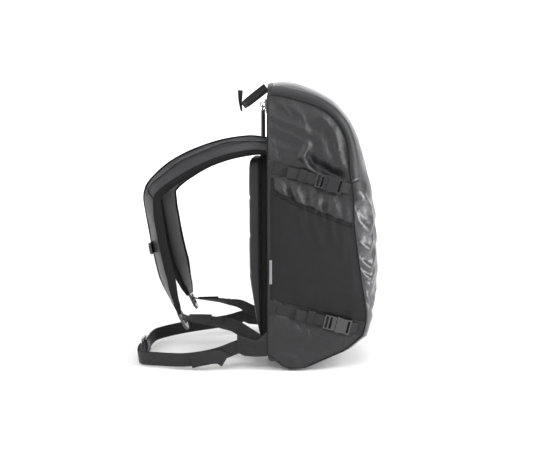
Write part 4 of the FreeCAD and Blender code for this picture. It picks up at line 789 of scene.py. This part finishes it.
# Each point is (x, y, height, sag) in the belt's own frame.
left = [(26, -130.2, 2, -6), (2, -131, 1, -4), (-30, -130.6, 0, 3), (-62, -129.4, 0, 7), (-100, -126.5, 0, 7),
        (-145, -111, 0, 3.5), (-181, -91, 0, 1), (-190, -58, 0, 0), (-191, -24, 0, 0)]
right = [(26, 130.2, 2, -6), (2, 131, 1, -4), (-30, 130.6, 0, 0), (-62, 129.4, 0, 1), (-100, 126.5, 0, 1),
         (-143, 112, 0, 0), (-177, 91, 0, 0), (-186, 60, 0, 0), (-186.4, 25, 0, 0)]
tail = [(-52, -134.2, 0, 9), (-62, -133.6, 0, 8), (-101, -130.2, 0, 7), (-147, -114.5, 0, 3.5),
        (-184.6, -93.4, 0, 1), (-193.6, -59, 0, 0), (-194.5, -25, 0, 0)]
flick = [(-86, -133.6, -2, 9), (-74, -135.2, -1, 8), (-62, -136.6, 0, 8), (-46, -137.4, 1, 8),
         (-32, -136.5, 1, 10), (-22, -134.8, -2, 15)]
for name, line, width, cloth, stood in (
        ("hip_belt_left_web", left, 25, dark_webbing, ["hip_webbing_left"]),
        ("hip_belt_tail_web", tail, 24.6, strap_webbing, []),
        ("hip_belt_right_web", right, 25, dark_webbing, ["hip_webbing_right"]),
        ("hip_belt_tail_end_web", flick, 25, strap_webbing, [])):
    points = [belt_point(x, y, z, sag) for x, y, z, sag in line]
    twist = np.broadcast_to(np.asarray(belt_wide, float), (len(points), 3)).copy()
    if name == "hip_belt_tail_end_web":
        twist[-2:] += ((0.35, 0.1, 0), (0.55, 0.2, 0))
    dress(ribbon(name, points, twist, width, 2.0, 120), cloth, "root", stood)
tack = bar_tack("hip_belt_tack", belt_point(-88, -135.2, 0, 8), belt_wide, (0, -1, 0), 24)
dress(tack, thread_nylon, "root")

# Wing cloth: coated nylon folded double over the webbing.
wing_nylon = woven("coated_nylon_wing", "111113", 0.5, 0.0012, 0.00006, 0.0016, 0.02, specular=0.35)
for side, sign in (("left", -1), ("right", 1)):
    levels = np.linspace(0, 1, 70)
    runs = np.linspace(-20, 37, 60)
    x, v = np.meshgrid(runs, levels, indexing="ij")
    top = np.interp(runs, [-20, 0, 14, 24, 34, 37], [98, 92, 88, 92, 102, 108])
    low = np.interp(runs, [-20, -6, 14, 30, 37], [64, 58, 56.5, 57, 58])
    turn = v * 2 * math.pi
    middle, half = (top + low)[:, None] / 2, (top - low)[:, None] / 2
    z = middle + half * np.sign(np.cos(turn)) * np.abs(np.cos(turn)) ** (2 / 3.4)
    thickness = np.interp(runs, [-20, -12, 10, 37], [2.4, 3.2, 4.2, 4.6])[:, None]
    y = sign * (130.4 + thickness * np.sign(np.sin(turn)) * np.abs(np.sin(turn)) ** (2 / 3.4))
    creased = folds(x, z, [(-18, 90, 30, 84, 1.4, 5), (8, 82, 34, 66, 1.6, 6), (-10, 72, 8, 62, 1.2, 5)])
    y = y + sign * (creased + ripples(x, z, 91, 12, 0.4))
    wing = surface(f"hip_wing_{side}_cloth", np.stack([x, y, z], axis=-1)[:, :-1], around=True, ends=True)
    dress(wing, wing_nylon, "root", [f"hip_wing_{side}"])

# ---------------------------------------------------------------------------------------------------------
# Side pockets. Four-way stretch knit, cut flat and drawn in by an elastic binding along the top edge, so
# that it gathers there and bellies out below.

# Matte stretch knit, the darkest cloth on the bag. Loops of 0.7 mm are drawn at 1.4 mm.
stretch_knit = woven(
    "stretch_knit_matte", "131315", 0.78, 0.0014, 0.00008, 0.0008, 0.03, specular=0.3, sheen=0.05)
# Elastic binding.
elastic_tape = woven("elastic_binding_matte", "0C0C0D", 0.7, 0.0016, 0.00015, specular=0.25)
front_x = np.interp(np.linspace(118, 372, 200), seam_edge[::-1, 1], seam_edge[::-1, 0])
for side, sign in (("left", -1), ("right", 1)):
    u = np.linspace(0, 1, 130)[:, None]
    v = np.linspace(0, 1, 120)[None, :]
    top_x = 46 + u * (189.5 - 46)
    top_z = np.interp(top_x, [46, 70, 100, 126, 150, 190], [360, 348, 332, 322, 312, 297])
    low_x = 46 + u * (212 - 46)
    low_z = 163 - (low_x - 46) * 0.25
    z = low_z * (1 - v) + top_z * v
    front = np.interp(z, np.linspace(118, 372, 200), front_x) - 1.2
    x = 45.5 + u * (front - 45.5)
    belly = 5.5 * (np.sin(math.pi * u) ** 0.6) * (np.sin(math.pi * np.clip(v, 0, 1) * 0.93 + 0.05) ** 0.6)
    gathers = np.sin(x / 3.4 + 2.2 * np.sin(x / 21)) * np.exp(-(1 - v) / 0.07)
    gathers = gathers + 0.6 * np.sin(x / 5 + 1) * np.exp(-v / 0.06)
    soft = folds(x, z, [(120, 300, 132, 262, 1.2, 7), (150, 302, 158, 262, 1.2, 7),
                        (92, 318, 100, 280, 1.0, 8), (60, 230, 180, 196, 0.8, 26),
                        (175, 290, 168, 240, 1.0, 8), (70, 190, 120, 170, 1.0, 14)])
    rim = np.clip(np.minimum(u, 1 - u) * 12, 0, 1)
    lift = 0.9 + rim * (belly + gathers + soft + ripples(x, z, 101 + sign, 26, 0.25)) + 0.4 * rim * v
    y = sign * (135.0 + np.maximum(lift, 0.5))
    grid = np.stack([x, y, z], axis=-1)
    pocket = surface(f"side_pocket_{side}_knit", grid, thick=1.1, flip=sign > 0)
    dress(pocket, stretch_knit, "root", [f"side_pocket_{side}"])
    rim_path = grid[:, -1] + (0, sign * 0.2, 0)
    hem = ribbon(f"pocket_hem_{side}", rim_path[::6], (-0.3, 0, 0.95), 8, 1.9, 200, 20)
    dress(hem, elastic_tape, "root")
    side_bind = [(44.5, sign * 135.9, z) for z in np.linspace(162, 384, 40)]
    side_tape = ribbon(f"pocket_side_tape_{side}", side_bind, (1, 0, 0), 6.5, 1.4, 60, 20)
    dress(side_tape, binding_cloth, "root")

# ---------------------------------------------------------------------------------------------------------
# Haul loop and grab tab. Webbing loop at the top of the back, with a short tab sewn at its end to pull.

# Tighter woven loop webbing.
loop_webbing = webbing("webbing_haul_loop", "161618")
droop = math.radians(37.7)
down_way = np.array([-math.cos(droop), 0, -math.sin(droop)])
plane_normal = np.array([-math.sin(droop), 0, math.cos(droop)])
loop_path = [np.array([33, y, 552]) + run * down_way for run, y in (
    (0.5, -36), (16, -36.5), (34, -34), (49, -24), (56, 0), (49, 24), (34, 34), (16, 36.5), (0.5, 36))]
haul = ribbon("haul_loop_web", loop_path, plane_normal, 12, 2.8, 140, 24)
dress(haul, loop_webbing, "haul_loop", ["haul_loop"])
for name, shift in (("upper", 5.2), ("lower", -5.2)):
    edge = [p + plane_normal * shift for p in loop_path]
    piping = tube(f"haul_loop_edge_{name}", smooth_line(edge, 140), 1.75, 8)
    dress(piping, strap_webbing, "haul_loop")
tab_path = [(-15, 0, 507), (-16.5, 0, 515), (-17.8, 0, 528), (-17.4, 0, 547)]
tab_wide = [(0.55, 0.8, 0), (0.6, 0.8, 0), (0.75, 0.65, 0), (0.8, 0.6, 0)]
tab = ribbon("grab_tab_web", tab_path, tab_wide, 12, 2.4, 50, 20,
             taper=([0, 0.35, 1], [0.45, 0.7, 1.0]))
dress(tab, loop_webbing, "haul_loop", ["grab_tab"])

# ---------------------------------------------------------------------------------------------------------
# Sternum strap. 20 mm webbing between two sliders that grip the shoulder straps, closed by a small
# side-release buckle.

chest_down = np.array([0.1653, 0, -0.9862])
chest_out = np.array([-0.9862, 0, -0.1653])
chest_at = np.array([-168.6, 0, 255.0])
for side, y0, y1 in (("left", -106, -18), ("right", 106, 24)):
    middle = (y0 + y1) / 2
    path = [chest_at + chest_out * 12.8 + (0, y0, 0), chest_at + chest_out * 12.9 + (0, y0 * 0.8, 0),
            chest_at + chest_out * 14.5 + (0, middle, 0) + chest_down * 1.5,
            chest_at + chest_out * 17 + (0, y1 * 1.6, 0), chest_at + chest_out * 18.2 + (0, y1, 0)]
    web = ribbon(f"sternum_{side}_web", path, chest_down, 19.6, 1.9, 80)
    dress(web, strap_webbing, None, [f"sternum_web_{side}"])
    if side == "left":
        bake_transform(web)
    else:
        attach(web, "sternum_strap")

# ---------------------------------------------------------------------------------------------------------
# Hard parts. Moulded acetal buckles and locks, the coated metal hip buckle, the zip's metal sliders, and
# the inflation system. Each is the drawn part with its edges broken as moulding or machining leaves them.


def hard(name, code, roughness, grain=0.0, grain_size=0.002, **finish):
    """A smooth hard material with faint uneven roughness and, if grain is given, a fine moulded texture."""
    material, tree, shader = start(name, code, roughness, **finish)
    solid = add(tree, "ShaderNodeTexCoord").outputs["Object"]
    noise = add(tree, "ShaderNodeTexNoise", {"Vector": solid, "Scale": 120.0, "Detail": 3.0})
    level = add(tree, "ShaderNodeMapRange", {
        "Value": noise.outputs["Fac"], "To Min": max(roughness - 0.06, 0.03), "To Max": roughness + 0.06})
    tree.links.new(level.outputs[0], shader.inputs["Roughness"])
    if grain:
        fine_noise = add(tree, "ShaderNodeTexNoise", {"Vector": solid, "Scale": 1 / grain_size, "Detail": 2.0})
        bump = add(tree, "ShaderNodeBump", {
            "Height": fine_noise.outputs["Fac"], "Distance": grain, "Strength": 1.0})
        tree.links.new(bump.outputs["Normal"], shader.inputs["Normal"])
    return material


def moulded(node, material, bevel=0.4):
    """A copy of a CAD node, its vertices merged and its sharp edges rounded by bevel mm, that stands for it."""
    source = frame["nodes"][node]
    work = bmesh.new()
    work.from_mesh(source.data)
    bmesh.ops.remove_doubles(work, verts=work.verts, dist=1e-6)
    bmesh.ops.dissolve_limit(work, angle_limit=math.radians(1.0), verts=work.verts, edges=work.edges)
    mesh = bpy.data.meshes.new(node + "_moulded")
    work.to_mesh(mesh)
    work.free()
    mesh.polygons.foreach_set("use_smooth", np.ones(len(mesh.polygons), bool))
    mesh.set_sharp_from_angle(angle=math.radians(32))
    piece = bpy.data.objects.new(node + "_moulded", mesh)
    bpy.context.scene.collection.objects.link(piece)
    if bevel:
        soften = piece.modifiers.new("edges", "BEVEL")
        soften.width, soften.segments, soften.limit_method = bevel / 1000, 2, "ANGLE"
        soften.angle_limit = math.radians(32)
        soften.use_clamp_overlap = True
    return dress(piece, material, source["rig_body"], [node])


# Moulded acetal: black, semi-gloss, with a fine spark-eroded grain.
acetal = hard("acetal_semigloss_black", "1A1A1C", 0.2, 0.00003, specular=0.8)
for node in ("ladder_lock_left", "ladder_lock_right", "sternum_sliders", "sternum_clip", "sternum_socket",
             "upper_clip_left", "upper_clip_right", "lower_clip_left", "lower_clip_right",
             "upper_socket_left", "upper_socket_right", "lower_socket_left", "lower_socket_right"):
    moulded(node, acetal, 0.8)
# Zip pulls: dark moulded nylon with a soft sheen.
pull_nylon = hard("zip_pull_nylon_satin", "1C1C1E", 0.26)
for node in ("zip_pull_left", "zip_pull_right"):
    moulded(node, pull_nylon, 0.5)
# A moulded rubber sleeve is pushed over each pull.
sleeve_rubber = hard("pull_sleeve_rubber_satin", "161617", 0.42, 0.00004)
for side, sign in (("left", -1), ("right", 1)):
    sleeve = [(26.9, sign * 118.0, z) for z in (457, 470, 485, 499, 505)]
    piece = ribbon(f"pull_sleeve_{side}", sleeve, (0, 1, 0), 9.5, 5.0, 40, 24, 3.0,
                   taper=([0, 0.12, 0.85, 1], [0.55, 0.95, 1.0, 0.7]))
    dress(piece, sleeve_rubber, f"zip_pull_{side}")
# Nickel plating on die-cast zinc.
nickel = hard("nickel_plate_bright", "9A9A9D", 0.24, metal=1.0)
moulded("zip_sliders", nickel, 0.35)
# Dark coated steel of the hip buckle.
coated_steel = hard("steel_black_oxide_satin", "6A6A6E", 0.26, metal=0.85)
for node in ("belt_buckle_plate", "belt_buckle_hook"):
    moulded(node, coated_steel, 0.6)
# Blank woven label.
label_cloth = woven("woven_label_pale", "77777A", 0.7, 0.0008, 0.00005)
fold_line = smooth_line([(39.2, -136.4), (43.2, -136.4), (43.7, -136.75), (43.2, -137.1), (39.2, -137.1)], 24)
label_grid = np.stack(np.broadcast_arrays(
    fold_line[None, :, 0], fold_line[None, :, 1], np.linspace(192, 236, 30)[:, None]), axis=-1)
label = surface("side_label_cloth", label_grid, thick=0.25, flip=True)
dress(label, label_cloth, "root", ["side_label"])

# Rolled aluminium, polyethylene, painted steel and the other plain finishes inside the bag.
aluminium = hard("aluminium_milled_satin", "B4B6B8", 0.32, metal=1.0)
steel = hard("steel_ground_satin", "9A9CA0", 0.28, metal=1.0)
painted_steel = hard("painted_steel_grey_gloss", "7C7F84", 0.25, coat=0.3)
polyethylene = hard("polyethylene_sheet_matte", "28282A", 0.5)
glass_nylon = hard("glass_filled_nylon_matte", "242426", 0.5, 0.00005)
rubber = hard("moulded_rubber_matte", "1C1C1D", 0.7)
red_grip = hard("trigger_grip_red_satin", "A8201C", 0.42, 0.00005)
cable_steel = hard("cable_sheath_satin_black", "303033", 0.4)
for node, material, slot, bevel in (
        ("frame_sheet", polyethylene, "frame_plastic", 0.4), ("frame_stays", aluminium, "frame_aluminium", 0.4),
        ("gas_cartridge", painted_steel, "cartridge_steel", 0),
        ("firing_head", aluminium, "system_aluminium", 0.6),
        ("airbag_clamp_ring", aluminium, "system_aluminium", 0.4), ("clamp_screws", steel, "system_steel", 0.2),
        ("piercing_pin", steel, "system_steel", 0.2), ("pin_spring", steel, "system_steel", 0),
        ("trigger_lever", steel, "system_steel", 0.5), ("lever_pivot", steel, "system_steel", 0.2),
        ("inflator_tube", glass_nylon, "system_plastic", 0.6),
        ("intake_grille", glass_nylon, "system_plastic", 0.3),
        ("check_flap", rubber, "flap_rubber", 0.3),
        ("trigger_cable", cable_steel, "cable_steel", 0)):
    moulded(node, material, bevel)

# The grip lies flat in the left strap's foam, behind the cover.
held = (strap_line[:, 1] < 343) & (strap_line[:, 1] > 273)
round_ends = np.clip(np.minimum(np.arange(held.sum()), held.sum() - 1 - np.arange(held.sum())) / 5, 0, 1)
round_ends = round_ends**0.5
grip, _, _, _ = sweep(strap_line[held], 7 + 5 * round_ends, 1.8 + 1.7 * round_ends, tilt[held], -1, 3.5, 40)
grip = surface("trigger_grip", grip, around=True, ends=True)
dress(grip, red_grip, "trigger_handle", ["trigger_handle"])

# ---------------------------------------------------------------------------------------------------------
# Folded airbag. Ripstop nylon packed in flat zigzag folds on the inflator's flange, under the crown.

# Bright ripstop, slightly glossy.
ripstop = woven("airbag_ripstop_orange", "C8501E", 0.4, 0.004, 0.00008, 0.0012, 0.012)
stack = np.linspace(-79, 44, 90)
turn = np.linspace(0, 2 * math.pi, 160, endpoint=False)
c = np.sign(np.cos(turn)) * np.abs(np.cos(turn)) ** (2 / 5)
s = np.sign(np.sin(turn)) * np.abs(np.sin(turn)) ** (2 / 5)
end = np.clip(np.minimum(stack + 79, 44 - stack) / 9, 0, 1)
size = 1 - 0.16 * (1 - np.sqrt(1 - (1 - end) ** 2))
x = 90 + 38.5 * size[:, None] * c[None, :]
z = 480 + 38.5 * size[:, None] * s[None, :]
layers = np.abs(np.sin(math.pi * z / 7.5 + 0.3 * np.sin(stack[:, None] / 9)))
x = x + np.sign(c)[None, :] * 2.0 * (layers - 1) * np.abs(c)[None, :] ** 3
z = z + ripples(x, np.broadcast_to(stack[:, None], x.shape), 111, 16, 0.7) * np.abs(s)[None, :]
grid = np.stack([x, np.broadcast_to(stack[:, None], x.shape), z], axis=-1)
airbag = surface("airbag_packed_cloth", grid, around=True, ends=True)
dress(airbag, ripstop, "root", ["airbag_folded"])

# ---------------------------------------------------------------------------------------------------------
# Stage. A pale seamless floor and backdrop, large soft lamps, and a camera that faces the wearer's left side
# and looks 6 degrees down.

# Pale matte paper sweep.
paper, _, _ = start("paper_sweep_white_matte", "F4F4F4", 0.9, specular=0.1)
paper_line = np.array([(-2.4, -0.2745), (2.2, -0.2745), (3.2, -0.262), (3.9, -0.05), (4.2, 0.5), (4.3, 3.2)])
sweep_line = np.vstack([paper_line[:1], smooth_line(paper_line[1:], 40)])
width = np.linspace(-5, 5, 20)
floor_grid = np.stack([
    np.broadcast_to(width[None, :], (len(sweep_line), 20)), np.repeat(sweep_line[:, :1], 20, axis=1),
    np.repeat(sweep_line[:, 1:], 20, axis=1)], axis=-1)
floor = surface("paper_sweep", floor_grid * 1000 + (0, 0, 305), flip=True)
floor.data.materials.append(paper)
floor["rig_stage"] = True

world = bpy.data.worlds.new("studio_white")
bpy.context.scene.world = world
world.use_nodes = True
world.node_tree.nodes["Background"].inputs["Color"].default_value = (1, 1, 1, 1)
world.node_tree.nodes["Background"].inputs["Strength"].default_value = 0.5


def softbox(name, place, target, wide, tall, power):
    """A rectangular area lamp in metres, turned to face its target."""
    data = bpy.data.lights.new(name, "AREA")
    data.shape, data.size, data.size_y, data.energy = "RECTANGLE", wide, tall, power
    lamp = bpy.data.objects.new(name, data)
    bpy.context.scene.collection.objects.link(lamp)
    lamp.location = place
    lamp.rotation_euler = (Vector(target) - Vector(place)).to_track_quat("-Z", "Y").to_euler()
    return lamp


softbox("key_softbox", (-0.5, -1.9, 1.5), (0.05, 0, 0.0), 1.0, 0.8, 27)
softbox("front_softbox", (1.35, -0.55, 0.35), (0.2, 0, -0.05), 0.5, 1.5, 32)
softbox("top_softbox", (0.3, 0.1, 1.7), (0.1, 0, 0.1), 1.4, 1.0, 12)
softbox("backdrop_softbox", (0.0, 1.9, 1.9), (0.0, 4.2, 0.9), 3.0, 1.0, 110)
softbox("back_softbox", (-1.5, -0.7, 0.5), (-0.1, 0, 0.0), 0.8, 1.4, 16)

lens = bpy.data.cameras.new("camera")
lens.lens, lens.sensor_width = 53.67, 36
camera = bpy.data.objects.new("camera", lens)
bpy.context.scene.collection.objects.link(camera)
camera.location = (0.0494, -1.6, 0.1486)
camera.rotation_euler = (math.radians(84), 0, 0)
bpy.context.scene.camera = camera
bpy.context.scene.view_settings.view_transform = "Standard"

low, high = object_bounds()
